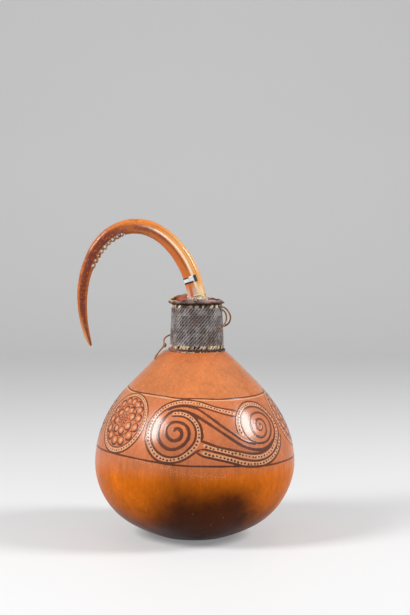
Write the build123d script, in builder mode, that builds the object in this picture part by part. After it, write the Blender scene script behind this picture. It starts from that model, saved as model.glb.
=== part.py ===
from build123d import *
from math import cos, pi, radians, tan
import os

os.makedirs("parts", exist_ok=True)

# A lime gourd: a dried gourd shell with a plaited collar round its mouth and a boar's tusk as stopper.
# Millimetres. The origin is the middle of the base, +Z is up, +X is to the right, +Y is away from the viewer.

# Gourd shell: radius and height of the stations of its outline, from base to mouth
BASE_RADIUS = 30.5
BASE_RISE = 20.0          # degrees, how steeply the wall leaves the flat base
HEEL_RADIUS = 67.0
HEEL_HEIGHT = 20.0
BELLY_RADIUS = 85.4
BELLY_HEIGHT = 62.0
SHOULDER_RADIUS = 71.6
SHOULDER_HEIGHT = 108.0
SLOPE_RADIUS = 41.0
SLOPE_HEIGHT = 143.0
SEAT_RADIUS = 25.6
SEAT_HEIGHT = 157.2
SEAT_SLOPE = 36.0         # degrees below the horizontal, where the shoulder reaches the seat
SHELL_WALL = 3.2

# Neck: the collar and all that it holds stand a little to the right of the gourd's own axis
NECK_OFFSET = 2.2
COLLAR_FOOT_RADIUS = 23.15
COLLAR_TOP_RADIUS = 21.5
COLLAR_HEIGHT = 39.7
PLAIT_THICKNESS = 2.4
HOOP_HEIGHT = 3.2
WHIPPING_THICKNESS = 0.55
WHIPPING_WIDTH = 2.1
LOWER_WHIPPING_COUNT = 46
UPPER_WHIPPING_COUNT = 32
FIT_GAP = 0.15            # between pieces of the neck that are bound together

# Liner: the rolled sheath inside the collar, with its lip flared out over the top
LINER_WALL = 1.8
LINER_TAIL = 7.0          # how far it reaches below the seat
LIP_RADIUS = 23.8
LIP_HEIGHT = 7.4          # above the collar, at the highest point of the rim
LIP_THICKNESS = 2.2
LIP_TILT = 5.0            # degrees, the rim rises towards the back
LIP_FRONT_CUT = 5.2       # height of the sloping rim above the collar, on the neck's axis
LIP_UNDER_RUN = (1, 0.3)  # direction of the lip's outline as it leaves the collar
LIP_RIM_RUN = (-0.3, 1)   # as it reaches the rim on the outside
LIP_INNER_RUN = (-0.1, -1)  # as it leaves the rim on the inside
MOUTH_GAP = 0.25

# Putty bead at the foot of the collar
SEAL_RADIUS = 1.5
SEAL_CUT_HEIGHT = 4 * SEAL_RADIUS  # of the block that keeps the bead off the collar

# Stopper: the curved tusk, its centreline part of an ellipse, and the wad that holds it in the mouth
ARCH_CENTRE_X = -45.7
ARCH_CENTRE_Z = 191.9
ARCH_HALF_WIDTH = 49.2
ARCH_HALF_HEIGHT = 71.25
ARCH_TILT = 7.2           # degrees
ROOT_ANGLE = -17.0        # degrees along the ellipse
TIP_ANGLE = 201.0
TUSK_ROOT_WIDTH = 16.2
TUSK_TAPER = 0.365        # the width falls as this power of the length still to go
TUSK_SECTIONS = 16
TUSK_CLOSENESS = 1.25     # the sections stand closer together towards the point
TUSK_LAST_SECTION = 0.99  # share of the length at which the point is closed
TUSK_CORNER = 0.4         # corner radius as a share of the section's radius
TUSK_POINT_RADIUS = 0.3
PULP_RADIUS = 5.0
PULP_DEPTH = 30.0
PULP_TAPER = 8.0          # degrees
LACE_HOLES = 9
LACE_START = 0.528        # share of the tusk's length from its root
LACE_END = 0.698
LACE_HOLE_RADIUS = 1.05
LACE_LUG_RADIUS = 2.7
LACE_LUG_THICKNESS = 3.6
LACE_INSET = 1.3          # from the edge of the tusk to the middle of a hole
LABEL_START = 0.162
LABEL_END = 0.189
LABEL_WIDTH = 9.6
LABEL_THICKNESS = 0.4
LABEL_EDGE = 2.4          # how far it reaches past the middle of the tusk, to the outside
LABEL_WRAP = 1.0          # how far it reaches past the middle, to the back
LABEL_CUT = 2 * LABEL_WIDTH  # side of the block that cuts the slip out of a whole band
WAD_HEIGHT = 17.0
WAD_FLOOR = 3.0
WAD_EDGE = 1.2
ROOT_LEAN = 1.8           # how far the root stands off the axis of the mouth
RUNNING_GAP = 0.3         # between the wad, the liner and the tusk, which move on each other

# Cords
CORD_DIAMETER = 1.0
KNOT_RADIUS = 1.6
KNOT_LENGTH = 4.2
ARC_SHARE = 0.45          # share of the shorter run that a cord's corner arc may take
LOOP_ROUTE = [
    (20.3, -9.7, 195.4),
    (24.6, -9.8, 195.0),
    (28.4, -7.6, 191.8),
    (31.0, -4.0, 186.8),
    (30.4, 1.2, 181.4),
    (27.2, 6.4, 177.8),
    (22.0, 9.6, 175.8),
]
INNER_ROUTE = [
    (20.3, 11.3, 191.9),
    (24.3, 9.6, 191.6),
    (27.3, 4.6, 188.4),
    (27.6, -1.4, 183.6),
    (25.9, -6.6, 179.6),
    (22.9, -11.4, 176.2),
    (18.4, -15.1, 173.6),
]
TAIL_ROUTE = [
    (-19.2, 6.2, 170.4),
    (-23.6, 5.6, 169.2),
    (-26.5, 1.6, 165.8),
    (-25.2, -3.0, 161.8),
    (-28.8, -5.0, 158.0),
    (-31.8, -5.2, 153.9),
    (-33.8, -7.6, 150.4),
]

NECK_AXIS = Axis((NECK_OFFSET, 0, 0), (0, 0, 1))
NECK_PLANE = Plane(origin=(NECK_OFFSET, 0, 0), x_dir=(1, 0, 0), z_dir=(0, -1, 0))
COLLAR_TOP = SEAT_HEIGHT + COLLAR_HEIGHT
PLAIT_BOTTOM = SEAT_HEIGHT + HOOP_HEIGHT
PLAIT_TOP = COLLAR_TOP - HOOP_HEIGHT


def collar_radius(height):
    """Outer radius of the tapering collar at a height."""
    share = (height - SEAT_HEIGHT) / COLLAR_HEIGHT
    return COLLAR_FOOT_RADIUS + (COLLAR_TOP_RADIUS - COLLAR_FOOT_RADIUS) * share


def liner_radius(height):
    """Outer radius of the liner, which fits inside the plait."""
    return collar_radius(height) - PLAIT_THICKNESS - FIT_GAP


def neck_plane_at(height):
    """A level plane on the neck's axis."""
    return Plane(origin=(NECK_OFFSET, 0, height), x_dir=(1, 0, 0), z_dir=(0, 0, 1))


MOUTH_RADIUS = liner_radius(SEAT_HEIGHT - LINER_TAIL) + MOUTH_GAP
LOWER_HOOP_RADIUS = COLLAR_FOOT_RADIUS - WHIPPING_THICKNESS
UPPER_HOOP_RADIUS = COLLAR_TOP_RADIUS - WHIPPING_THICKNESS

# Gourd shell: its outline turned round the axis, hollowed to an even wall, and opened at the mouth
with BuildPart() as gourd_shell:
    with BuildSketch(Plane.XZ) as gourd_outline:
        with BuildLine():
            Line((0, 0), (BASE_RADIUS, 0))
            Spline(
                (BASE_RADIUS, 0),
                (HEEL_RADIUS, HEEL_HEIGHT),
                (BELLY_RADIUS, BELLY_HEIGHT),
                tangents=((1, tan(radians(BASE_RISE))), (0, 1)),
            )
            Spline(
                (BELLY_RADIUS, BELLY_HEIGHT),
                (SHOULDER_RADIUS, SHOULDER_HEIGHT),
                (SLOPE_RADIUS, SLOPE_HEIGHT),
                (SEAT_RADIUS, SEAT_HEIGHT),
                tangents=((0, 1), (-1, tan(radians(SEAT_SLOPE)))),
            )
            Line((SEAT_RADIUS, SEAT_HEIGHT), (0, SEAT_HEIGHT))
            Line((0, SEAT_HEIGHT), (0, 0))
        make_face()
    revolve(axis=Axis.Z)
    lime_chamber = offset(gourd_shell.part, amount=-SHELL_WALL, mode=Mode.PRIVATE)
    add(lime_chamber, mode=Mode.SUBTRACT)
    with BuildSketch(neck_plane_at(SEAT_HEIGHT)) as mouth_hole:
        Circle(MOUTH_RADIUS)
    extrude(amount=-2 * SHELL_WALL, mode=Mode.SUBTRACT)

# Lower hoop: the cane ring that the collar stands on
with BuildPart() as lower_hoop:
    with BuildSketch(neck_plane_at(SEAT_HEIGHT)) as lower_hoop_ring:
        Circle(LOWER_HOOP_RADIUS)
        Circle(liner_radius(SEAT_HEIGHT) + FIT_GAP, mode=Mode.SUBTRACT)
    extrude(amount=HOOP_HEIGHT)

# Plaited collar: the woven sleeve between the two hoops
with BuildPart() as plaited_collar:
    with BuildSketch(NECK_PLANE) as collar_wall:
        with BuildLine():
            Polyline(
                (collar_radius(PLAIT_BOTTOM) - PLAIT_THICKNESS, PLAIT_BOTTOM),
                (collar_radius(PLAIT_BOTTOM), PLAIT_BOTTOM),
                (collar_radius(PLAIT_TOP), PLAIT_TOP),
                (collar_radius(PLAIT_TOP) - PLAIT_THICKNESS, PLAIT_TOP),
                close=True,
            )
        make_face()
    revolve(axis=NECK_AXIS)

# Upper hoop: the cane ring at the top of the plait, under the lip
with BuildPart() as upper_hoop:
    with BuildSketch(neck_plane_at(PLAIT_TOP)) as upper_hoop_ring:
        Circle(UPPER_HOOP_RADIUS)
        Circle(liner_radius(PLAIT_TOP) + FIT_GAP, mode=Mode.SUBTRACT)
    extrude(amount=HOOP_HEIGHT)

# Whipping: one stitch after another over each hoop, every stitch round outside and fitted to the cane
with BuildPart() as lower_whipping:
    with BuildSketch(neck_plane_at(SEAT_HEIGHT)) as lower_stitches:
        with PolarLocations(LOWER_HOOP_RADIUS, LOWER_WHIPPING_COUNT):
            Ellipse(WHIPPING_THICKNESS, WHIPPING_WIDTH / 2)
        Circle(LOWER_HOOP_RADIUS, mode=Mode.SUBTRACT)
    extrude(amount=HOOP_HEIGHT)

with BuildPart() as upper_whipping:
    with BuildSketch(neck_plane_at(PLAIT_TOP)) as upper_stitches:
        with PolarLocations(UPPER_HOOP_RADIUS, UPPER_WHIPPING_COUNT):
            Ellipse(WHIPPING_THICKNESS, WHIPPING_WIDTH / 2)
        Circle(UPPER_HOOP_RADIUS, mode=Mode.SUBTRACT)
    extrude(amount=HOOP_HEIGHT)

# Mouth liner: a tapering tube whose top curls out over the collar, its rim higher at the back
with BuildPart() as mouth_liner:
    with BuildSketch(NECK_PLANE) as liner_wall:
        with BuildLine():
            tube_bottom = SEAT_HEIGHT - LINER_TAIL
            lip_under = COLLAR_TOP + FIT_GAP
            lip_top = COLLAR_TOP + LIP_HEIGHT
            tube_outside = liner_radius(tube_bottom)
            Line((tube_outside, tube_bottom), (liner_radius(lip_under), lip_under))
            Line((liner_radius(lip_under), lip_under), (COLLAR_TOP_RADIUS, lip_under))
            Spline(
                (COLLAR_TOP_RADIUS, lip_under),
                (LIP_RADIUS, lip_under + LIP_THICKNESS),
                (LIP_RADIUS - LIP_THICKNESS / 2, lip_top),
                tangents=(LIP_UNDER_RUN, LIP_RIM_RUN),
            )
            Line((LIP_RADIUS - LIP_THICKNESS / 2, lip_top), (LIP_RADIUS - LIP_THICKNESS * 1.5, lip_top))
            Spline(
                (LIP_RADIUS - LIP_THICKNESS * 1.5, lip_top),
                (liner_radius(lip_under) - LINER_WALL, lip_under - LIP_THICKNESS),
                tangents=(LIP_INNER_RUN, (0, -1)),
            )
            Line(
                (liner_radius(lip_under) - LINER_WALL, lip_under - LIP_THICKNESS),
                (tube_outside - LINER_WALL, tube_bottom),
            )
            Line((tube_outside - LINER_WALL, tube_bottom), (tube_outside, tube_bottom))
        make_face()
    revolve(axis=NECK_AXIS)
    rim_plane = Plane(
        origin=(NECK_OFFSET, 0, COLLAR_TOP + LIP_FRONT_CUT),
        x_dir=(1, 0, 0),
        z_dir=Vector(0, -tan(radians(LIP_TILT)), 1),
    )
    split(bisect_by=rim_plane, keep=Keep.BOTTOM)

# Putty seal: a bead pressed into the corner between the shoulder and the lower hoop
with BuildPart() as putty_seal:
    with BuildSketch(NECK_PLANE) as bead:
        with Locations((COLLAR_FOOT_RADIUS + FIT_GAP + SEAL_RADIUS / 2, SEAT_HEIGHT)):
            Circle(SEAL_RADIUS)
        with Locations((0, SEAT_HEIGHT)):
            Rectangle(
                COLLAR_FOOT_RADIUS + FIT_GAP,
                SEAL_CUT_HEIGHT,
                align=(Align.MIN, Align.CENTER),
                mode=Mode.SUBTRACT,
            )
    revolve(axis=NECK_AXIS)
    with BuildSketch(Plane(origin=(0, 0, FIT_GAP), x_dir=(1, 0, 0), z_dir=(0, -1, 0))) as shoulder_below:
        add(gourd_outline.sketch_local)
    revolve(axis=Axis.Z, mode=Mode.SUBTRACT)

# Tusk stopper: rounded three-cornered sections along part of an ellipse, flat face to the viewer
with BuildLine(Plane.XZ) as tusk_line:
    tusk_path = EllipticalCenterArc(
        (ARCH_CENTRE_X, ARCH_CENTRE_Z),
        ARCH_HALF_WIDTH,
        ARCH_HALF_HEIGHT,
        start_angle=ROOT_ANGLE,
        arc_size=TIP_ANGLE - ROOT_ANGLE,
        rotation=ARCH_TILT,
    )
tusk_edge = tusk_line.edge()


def tusk_width(share):
    """Width of the tusk at a share of its length from the root."""
    return TUSK_ROOT_WIDTH * (1 - share) ** TUSK_TAPER


def tusk_plane(share):
    """Plane across the tusk: x to the outside of the arch, y away from the viewer, z towards the point."""
    along = tusk_edge.tangent_at(share)
    return Plane(origin=tusk_edge.position_at(share), x_dir=along.cross(Vector(0, -1, 0)), z_dir=along)


def tusk_section_radius(share, extra=0):
    """Radius of the three-cornered section before rounding, so that the rounded one has the tusk's width."""
    half_width = tusk_width(share) / 2 + extra
    return half_width / (cos(radians(30)) * (1 - 2 * TUSK_CORNER) + TUSK_CORNER)


def tusk_section(share, extra=0):
    """The section of the tusk on its plane, as a sketch."""
    section_radius = tusk_section_radius(share, extra)
    with BuildSketch(tusk_plane(share)) as section:
        RegularPolygon(section_radius, 3, rotation=90)
        fillet(section.vertices(), TUSK_CORNER * section_radius)
    return section.sketch


def lace_points():
    """Middles of the holes, in the plane of the arch."""
    points = []
    for hole in range(LACE_HOLES):
        share = LACE_START + (LACE_END - LACE_START) * hole / (LACE_HOLES - 1)
        centre = tusk_plane(share).from_local_coords((LACE_INSET - tusk_width(share) / 2, 0, 0))
        points.append((centre.X, centre.Z))
    return points


even_steps = [step / (TUSK_SECTIONS - 1) for step in range(TUSK_SECTIONS)]
tusk_shares = [TUSK_LAST_SECTION * (1 - (1 - step) ** TUSK_CLOSENESS) for step in even_steps]

with BuildPart() as tusk_stopper:
    for share in tusk_shares:
        add(tusk_section(share))
    with BuildSketch(tusk_plane(1)) as tusk_point:
        Circle(TUSK_POINT_RADIUS)
    loft()
    with BuildSketch(Plane.XZ) as lace_lugs:
        with Locations(*lace_points()):
            Circle(LACE_LUG_RADIUS)
    extrude(amount=LACE_LUG_THICKNESS / 2, both=True)
    with BuildSketch(Plane.XZ) as lace_holes:
        with Locations(*lace_points()):
            Circle(LACE_HOLE_RADIUS)
    extrude(amount=TUSK_ROOT_WIDTH / 2, both=True, mode=Mode.SUBTRACT)
    with BuildSketch(tusk_plane(0)) as pulp_hollow:
        Circle(PULP_RADIUS)
    extrude(amount=PULP_DEPTH, taper=PULP_TAPER, mode=Mode.SUBTRACT)

# Label band: a blank slip pasted round the front and the inner edge of the tusk
with BuildPart() as label_band:
    for share in (LABEL_START, (LABEL_START + LABEL_END) / 2, LABEL_END):
        add(tusk_section(share, LABEL_THICKNESS))
    loft()
    with BuildSketch(tusk_plane(LABEL_START).offset(-LABEL_WIDTH)) as label_outline:
        with Locations((LABEL_EDGE, LABEL_WRAP)):
            Rectangle(LABEL_CUT, LABEL_CUT, align=(Align.MAX, Align.MAX))
    extrude(amount=2 * LABEL_CUT, mode=Mode.INTERSECT)
    add(tusk_stopper.part, mode=Mode.SUBTRACT)

# Stopper wad: a plug of bound fibre that fills the mouth and takes the root of the tusk in its cup
root_centre = tusk_edge.position_at(0)
root_tilt = abs(tusk_edge.tangent_at(0).X)
root_reach = tusk_section_radius(0) * (1 - TUSK_CORNER)
cup_radius = root_reach + ROOT_LEAN + RUNNING_GAP
cup_floor = root_centre.Z - tusk_width(0) / 2 * root_tilt - RUNNING_GAP
wad_bottom = cup_floor - WAD_FLOOR
wad_radius = liner_radius(COLLAR_TOP + FIT_GAP) - LINER_WALL - RUNNING_GAP

with BuildPart() as stopper_wad:
    with BuildSketch(neck_plane_at(wad_bottom)) as wad_disc:
        Circle(wad_radius)
    extrude(amount=WAD_HEIGHT)
    fillet(stopper_wad.edges().filter_by(GeomType.CIRCLE), WAD_EDGE)
    with BuildSketch(neck_plane_at(cup_floor)) as cup:
        Circle(cup_radius)
    extrude(amount=WAD_HEIGHT, mode=Mode.SUBTRACT)


def corner_radii(route):
    """The largest arcs that the runs of a cord leave room for, one for each corner."""
    radii = []
    for before, corner, after in zip(route, route[1:], route[2:]):
        run_in = Vector(corner) - Vector(before)
        run_out = Vector(after) - Vector(corner)
        half_turn = radians(run_in.get_angle(run_out)) / 2
        radii.append(ARC_SHARE * min(run_in.length, run_out.length) / tan(half_turn))
    return radii


def cord_path(name, route):
    """Straight runs joined by tangent arcs, with the arcs' radii printed."""
    radii = corner_radii(route)
    print(name, "radii", [round(radius, 1) for radius in radii])
    with BuildLine() as line:
        FilletPolyline(*route, radius=radii)
    return line.wire()


# Loop cord: the long strand that stands out from the right of the collar, under the lip
loop_line = cord_path("loop cord", LOOP_ROUTE)
with BuildPart() as loop_cord:
    with BuildSketch(Plane(origin=loop_line @ 0, z_dir=loop_line % 0)) as loop_section:
        Circle(CORD_DIAMETER / 2)
    sweep(path=loop_line)

# Inner loop cord: the second strand, from the back of the collar round to its front
inner_line = cord_path("inner loop cord", INNER_ROUTE)
with BuildPart() as inner_loop_cord:
    with BuildSketch(Plane(origin=inner_line @ 0, z_dir=inner_line % 0)) as inner_section:
        Circle(CORD_DIAMETER / 2)
    sweep(path=inner_line)

# Tail cord: the short end at the left, out of the plait, through its knot and down on the shoulder
tail_line = cord_path("tail cord", TAIL_ROUTE)
with BuildPart() as tail_cord:
    with BuildSketch(Plane(origin=tail_line @ 0, z_dir=tail_line % 0)) as tail_section:
        Circle(CORD_DIAMETER / 2)
    sweep(path=tail_line)

# Tail knot: an egg-shaped overhand knot, drawn tight on the tail cord
knot_point = len(TAIL_ROUTE) // 2
knot_middle = Vector(TAIL_ROUTE[knot_point])
knot_run = Vector(TAIL_ROUTE[knot_point + 1]) - Vector(TAIL_ROUTE[knot_point - 1])
knot_plane = Plane(origin=knot_middle, x_dir=knot_run, z_dir=knot_run.cross(Vector(0, 0, 1)))
with BuildPart() as tail_knot:
    with BuildSketch(knot_plane) as knot_half:
        Ellipse(KNOT_LENGTH / 2, KNOT_RADIUS)
        Rectangle(KNOT_LENGTH, KNOT_RADIUS, align=(Align.CENTER, Align.MAX), mode=Mode.SUBTRACT)
    revolve(axis=Axis(knot_middle, knot_run))

for name, line, tube in (
    ("loop cord", loop_line, loop_cord),
    ("inner loop cord", inner_line, inner_loop_cord),
    ("tail cord", tail_line, tail_cord),
):
    volume_share = tube.part.volume / (pi * CORD_DIAMETER**2 / 4 * line.length)
    print(name, "length", round(line.length, 2), "volume share", round(volume_share, 4))

gourd_shell.part.label = "gourd_shell"
export_step(gourd_shell.part, "parts/gourd_shell.step")
lower_hoop.part.label = "lower_hoop"
export_step(lower_hoop.part, "parts/lower_hoop.step")
plaited_collar.part.label = "plaited_collar"
export_step(plaited_collar.part, "parts/plaited_collar.step")
upper_hoop.part.label = "upper_hoop"
export_step(upper_hoop.part, "parts/upper_hoop.step")
lower_whipping.part.label = "lower_whipping"
export_step(lower_whipping.part, "parts/lower_whipping.step")
upper_whipping.part.label = "upper_whipping"
export_step(upper_whipping.part, "parts/upper_whipping.step")
mouth_liner.part.label = "mouth_liner"
export_step(mouth_liner.part, "parts/mouth_liner.step")
putty_seal.part.label = "putty_seal"
export_step(putty_seal.part, "parts/putty_seal.step")
tusk_stopper.part.label = "tusk_stopper"
export_step(tusk_stopper.part, "parts/tusk_stopper.step")
label_band.part.label = "label_band"
export_step(label_band.part, "parts/label_band.step")
stopper_wad.part.label = "stopper_wad"
export_step(stopper_wad.part, "parts/stopper_wad.step")
loop_cord.part.label = "loop_cord"
export_step(loop_cord.part, "parts/loop_cord.step")
inner_loop_cord.part.label = "inner_loop_cord"
export_step(inner_loop_cord.part, "parts/inner_loop_cord.step")
tail_cord.part.label = "tail_cord"
export_step(tail_cord.part, "parts/tail_cord.step")
tail_knot.part.label = "tail_knot"
export_step(tail_knot.part, "parts/tail_knot.step")
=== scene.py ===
# %% [markdown]
# # A lime gourd with a tusk stopper
#
# A betel chewer's lime gourd is a dried gourd, polished brown by years of handling, with a band of
# burnt line ornament round its shoulder, a plaited collar bound on round the mouth and a curved
# boar's tusk as its stopper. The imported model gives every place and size. This script dresses it:
# each visible piece is made again as a fine surface, with its own finish.
#
# All lengths are metres. The origin is the middle of the base, +Z is up, +X is to the right and +Y
# is away from the viewer.

# %% Load the frame
from math import pi, radians

import bmesh
import bpy
import numpy as np
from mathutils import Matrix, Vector


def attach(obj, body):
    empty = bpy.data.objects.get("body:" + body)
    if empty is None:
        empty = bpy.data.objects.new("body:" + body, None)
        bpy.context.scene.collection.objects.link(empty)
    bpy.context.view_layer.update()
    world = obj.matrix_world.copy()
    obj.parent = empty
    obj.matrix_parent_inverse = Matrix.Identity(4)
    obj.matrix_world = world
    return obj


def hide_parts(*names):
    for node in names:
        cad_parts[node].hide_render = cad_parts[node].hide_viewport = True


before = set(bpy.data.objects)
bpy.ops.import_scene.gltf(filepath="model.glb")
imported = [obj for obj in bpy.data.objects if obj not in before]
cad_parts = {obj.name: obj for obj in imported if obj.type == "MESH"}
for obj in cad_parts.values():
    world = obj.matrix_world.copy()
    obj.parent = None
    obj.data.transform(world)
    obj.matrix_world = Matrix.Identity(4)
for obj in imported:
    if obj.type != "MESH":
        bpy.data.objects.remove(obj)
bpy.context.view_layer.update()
MM = 0.001
WELD = 1e-8


def placed(name, data):
    """A new object of the scene that shows the data, at the origin and unturned."""
    made = bpy.data.objects.new(name, data)
    bpy.context.scene.collection.objects.link(made)
    return made


# %% [markdown]
# ## The camera
#
# The photograph was taken from a little over the shoulder of the gourd, with a long lens: the base
# shows as a shallow curve and the lip of the mouth is seen almost from its own height. A distance of
# 1.2 m and a fall of 3.4 degrees give the same curves. The focal length is worked out from the
# picture's height, because the sensor is fitted to the vertical side.

# %% Camera
PICTURE_HEIGHT = 615
FOCAL_PIXELS = 1412
SENSOR = 36
CAMERA_PLACE = (9.1 * MM, -1200 * MM, 265 * MM)
CAMERA_FALL = 3.4
camera_data = bpy.data.cameras.new("camera")
camera_data.sensor_fit = "VERTICAL"
camera_data.sensor_height = SENSOR
camera_data.lens = FOCAL_PIXELS / PICTURE_HEIGHT * SENSOR
camera = placed("camera", camera_data)
camera.location = CAMERA_PLACE
camera.rotation_euler = (radians(90 - CAMERA_FALL), 0, 0)
bpy.context.scene.camera = camera
bpy.context.scene.view_settings.view_transform = "Standard"
print("lens", round(camera_data.lens, 2), "mm")

# %% [markdown]
# ## Finishes as Python expressions
#
# A procedural material is a small calculation on each point of the surface. Drawing it node by node
# hides the sum behind the wiring, so one class wraps a socket and lets Python's own signs add the
# Math nodes. One method makes every other kind of node: type, settings, then inputs.

# %% A socket that can be reckoned with
class Signal:
    """One output of a material's node tree."""

    def __init__(self, tree, socket=None):
        self.tree = tree
        self.socket = socket

    def node(self, kind, settings=None, inputs=None, out=0):
        """Adds a node of a type, with its settings first and then its inputs, by name or number."""
        made = self.tree.nodes.new(kind)
        for key, value in (settings or {}).items():
            setattr(made, key, value)
        for key, value in (inputs or {}).items():
            if isinstance(value, Signal):
                self.tree.links.new(value.socket, made.inputs[key])
            elif isinstance(value, tuple) and made.inputs[key].type == "RGBA":
                made.inputs[key].default_value = (*value, 1)
            else:
                made.inputs[key].default_value = value
        return Signal(self.tree, made.outputs[out])

    def maths(self, operation, *values):
        return self.node("ShaderNodeMath", {"operation": operation}, dict(enumerate(values)))

    def __add__(self, other):
        return self.maths("ADD", self, other)

    def __sub__(self, other):
        return self.maths("SUBTRACT", self, other)

    def __mul__(self, other):
        return self.maths("MULTIPLY", self, other)

    def __rsub__(self, other):
        return self.maths("SUBTRACT", other, self)

    def __abs__(self):
        return self.maths("ABSOLUTE", self)

    __radd__ = __add__
    __rmul__ = __mul__


# %% Words of the finishes
def rise(signal, low, high):
    """0 below low and 1 above high, with a smooth curve between them. high may be the lower one."""
    settings = {"interpolation_type": "SMOOTHSTEP"}
    ends = (low, high) if low < high else (high, low)
    ramped = signal.node("ShaderNodeMapRange", settings, {"Value": signal, "From Min": ends[0], "From Max": ends[1]})
    return ramped if low < high else 1 - ramped


def blend(factor, first, second):
    """first where factor is 0, second where it is 1; both are colours."""
    owner = next(part for part in (factor, first, second) if isinstance(part, Signal))
    return owner.node("ShaderNodeMix", {"data_type": "RGBA"}, {0: factor, 6: first, 7: second}, out=2)


def shade(colour, amount):
    """A colour made darker or lighter by a changing amount, 1 for no change."""
    settings = {"operation": "SCALE"}
    return amount.node("ShaderNodeVectorMath", settings, {0: colour, "Scale": amount})


def noise(place, scale, detail=2.0, roughness=0.5, stretch=None):
    """Soft random value from 0 to 1; stretch squeezes the pattern along an axis by that factor."""
    if stretch:
        place = place.node("ShaderNodeVectorMath", {"operation": "MULTIPLY"}, {0: place, 1: stretch})
    wanted = {"Vector": place, "Scale": scale, "Detail": detail, "Roughness": roughness}
    return place.node("ShaderNodeTexNoise", None, wanted)


def cells(place, scale):
    """Distance to the nearest of many scattered points."""
    return place.node("ShaderNodeTexVoronoi", None, {"Vector": place, "Scale": scale}, out="Distance")


def parts(vector):
    """The x, y and z of a vector."""
    return [vector.node("ShaderNodeSeparateXYZ", None, {0: vector}, out=axis) for axis in range(3)]


def at_most_one(signal):
    """The signal, cut off at 1."""
    return signal.maths("MINIMUM", signal, 1.0)


def tone_of(place):
    """The number that a surface carries at each of its points, such as how worn a stitch is."""
    return place.node("ShaderNodeAttribute", {"attribute_name": "tone"}, out="Fac")


def finish_of(name, slot, recipe, constants=None):
    """A material whose recipe takes the object place and the UV place and gives the shader's inputs."""
    material = bpy.data.materials.new(name)
    material.use_nodes = True
    tree = material.node_tree
    shader = next(node for node in tree.nodes if node.type == "BSDF_PRINCIPLED")
    start = Signal(tree)
    place = start.node("ShaderNodeTexCoord", out="Object")
    chart = start.node("ShaderNodeUVMap", {"uv_map": "chart"})
    for key, value in (constants or {}).items():
        shader.inputs[key].default_value = value
    for key, value in recipe(place, chart).items():
        if key == "Bump":
            height, depth = value
            value = height.node("ShaderNodeBump", None, {"Height": height, "Distance": depth, "Strength": 1.0})
            key = "Normal"
        if isinstance(value, Signal):
            tree.links.new(value.socket, shader.inputs[key])
        else:
            shader.inputs[key].default_value = (*value, 1) if isinstance(value, tuple) else value
    material["slot"] = slot
    return material


def srgb(red, green, blue):
    """The linear value of a colour read from 0 to 255."""
    part = np.array([red, green, blue]) / 255
    return tuple(np.where(part <= 0.04045, part / 12.92, ((part + 0.055) / 1.055) ** 2.4).tolist())


# %% [markdown]
# ## Surfaces as grids of points
#
# A revolved shell, a curved tusk and a strip on a curved wall are all the same thing: a table of
# points with two parameters. One function turns such a table into a mesh, closes it where it goes
# round, and writes the two parameters as a UV map named chart, so that a finish can follow the
# surface.

# %% Grid to mesh
def grid_faces(rows, columns, round_rows, round_columns):
    """Corner numbers of every square of the grid, as row and column that may run one past the end."""
    row, column = np.meshgrid(
        np.arange(rows if round_rows else rows - 1),
        np.arange(columns if round_columns else columns - 1),
        indexing="ij",
    )
    corner_rows = np.stack([row, row, row + 1, row + 1], axis=-1).reshape(-1, 4)
    corner_columns = np.stack([column, column + 1, column + 1, column], axis=-1).reshape(-1, 4)
    return corner_rows, corner_columns


class Sheaf:
    """Gathers grids of points, given in millimetres, into one mesh. Rows run up and columns run
    anticlockwise, so that the faces point outwards; flip turns them."""

    def __init__(self):
        self.points, self.faces, self.charts, self.tones, self.count = [], [], [], [], 0

    def add(self, points, round_rows=False, round_columns=False, chart=None, tone=0.5, flip=False):
        """points has the shape (rows, columns, 3), or (pieces, rows, columns, 3) with a tone each."""
        pieces = points if points.ndim == 4 else points[None]
        number, rows, columns = pieces.shape[:3]
        corner_rows, corner_columns = grid_faces(rows, columns, round_rows, round_columns)
        if chart is None:
            chart = (np.linspace(0, 1, rows + round_rows), np.linspace(0, 1, columns + round_columns))
        faces = (corner_rows % rows) * columns + corner_columns % columns
        charts = np.stack([chart[0][corner_rows], chart[1][corner_columns]], axis=-1)
        if flip:
            faces, charts = faces[:, ::-1], charts[:, ::-1]
        starts = self.count + np.arange(number)[:, None, None] * rows * columns
        self.faces.append((faces[None] + starts).reshape(-1, 4))
        self.charts.append(np.broadcast_to(charts, (number, *charts.shape)).reshape(-1, 2))
        self.points.append(pieces.reshape(-1, 3))
        tones = np.broadcast_to(np.asarray(tone, float), (number,)) if np.ndim(tone) < 2 else tone
        self.tones.append(np.repeat(tones, rows * columns) if np.ndim(tones) == 1 else tones.ravel())
        self.count += number * rows * columns
        return self

    def piece(self, name, body, finish, nodes):
        """Makes the object, closes its poles and seams, and says what it rides on and replaces."""
        mesh = bpy.data.meshes.new(name)
        faces = np.concatenate(self.faces)
        mesh.vertices.add(self.count)
        mesh.vertices.foreach_set("co", (np.concatenate(self.points) * MM).ravel())
        mesh.loops.add(faces.size)
        mesh.loops.foreach_set("vertex_index", faces.ravel())
        mesh.polygons.add(len(faces))
        mesh.polygons.foreach_set("loop_start", np.arange(0, faces.size, 4))
        mesh.uv_layers.new(name="chart").data.foreach_set("uv", np.concatenate(self.charts).ravel())
        mesh.attributes.new("tone", "FLOAT", "POINT").data.foreach_set("value", np.concatenate(self.tones))
        mesh.update(calc_edges=True)
        welder = bmesh.new()
        welder.from_mesh(mesh)
        bmesh.ops.remove_doubles(welder, verts=welder.verts, dist=WELD)
        welder.to_mesh(mesh)
        welder.free()
        mesh.validate()
        mesh.polygons.foreach_set("use_smooth", np.full(len(mesh.polygons), True))
        mesh.materials.append(finish)
        made = placed(name, mesh)
        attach(made, body)
        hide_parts(*nodes)
        mesh.calc_loop_triangles()
        print(name, len(mesh.loop_triangles), "triangles")
        return made


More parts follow.
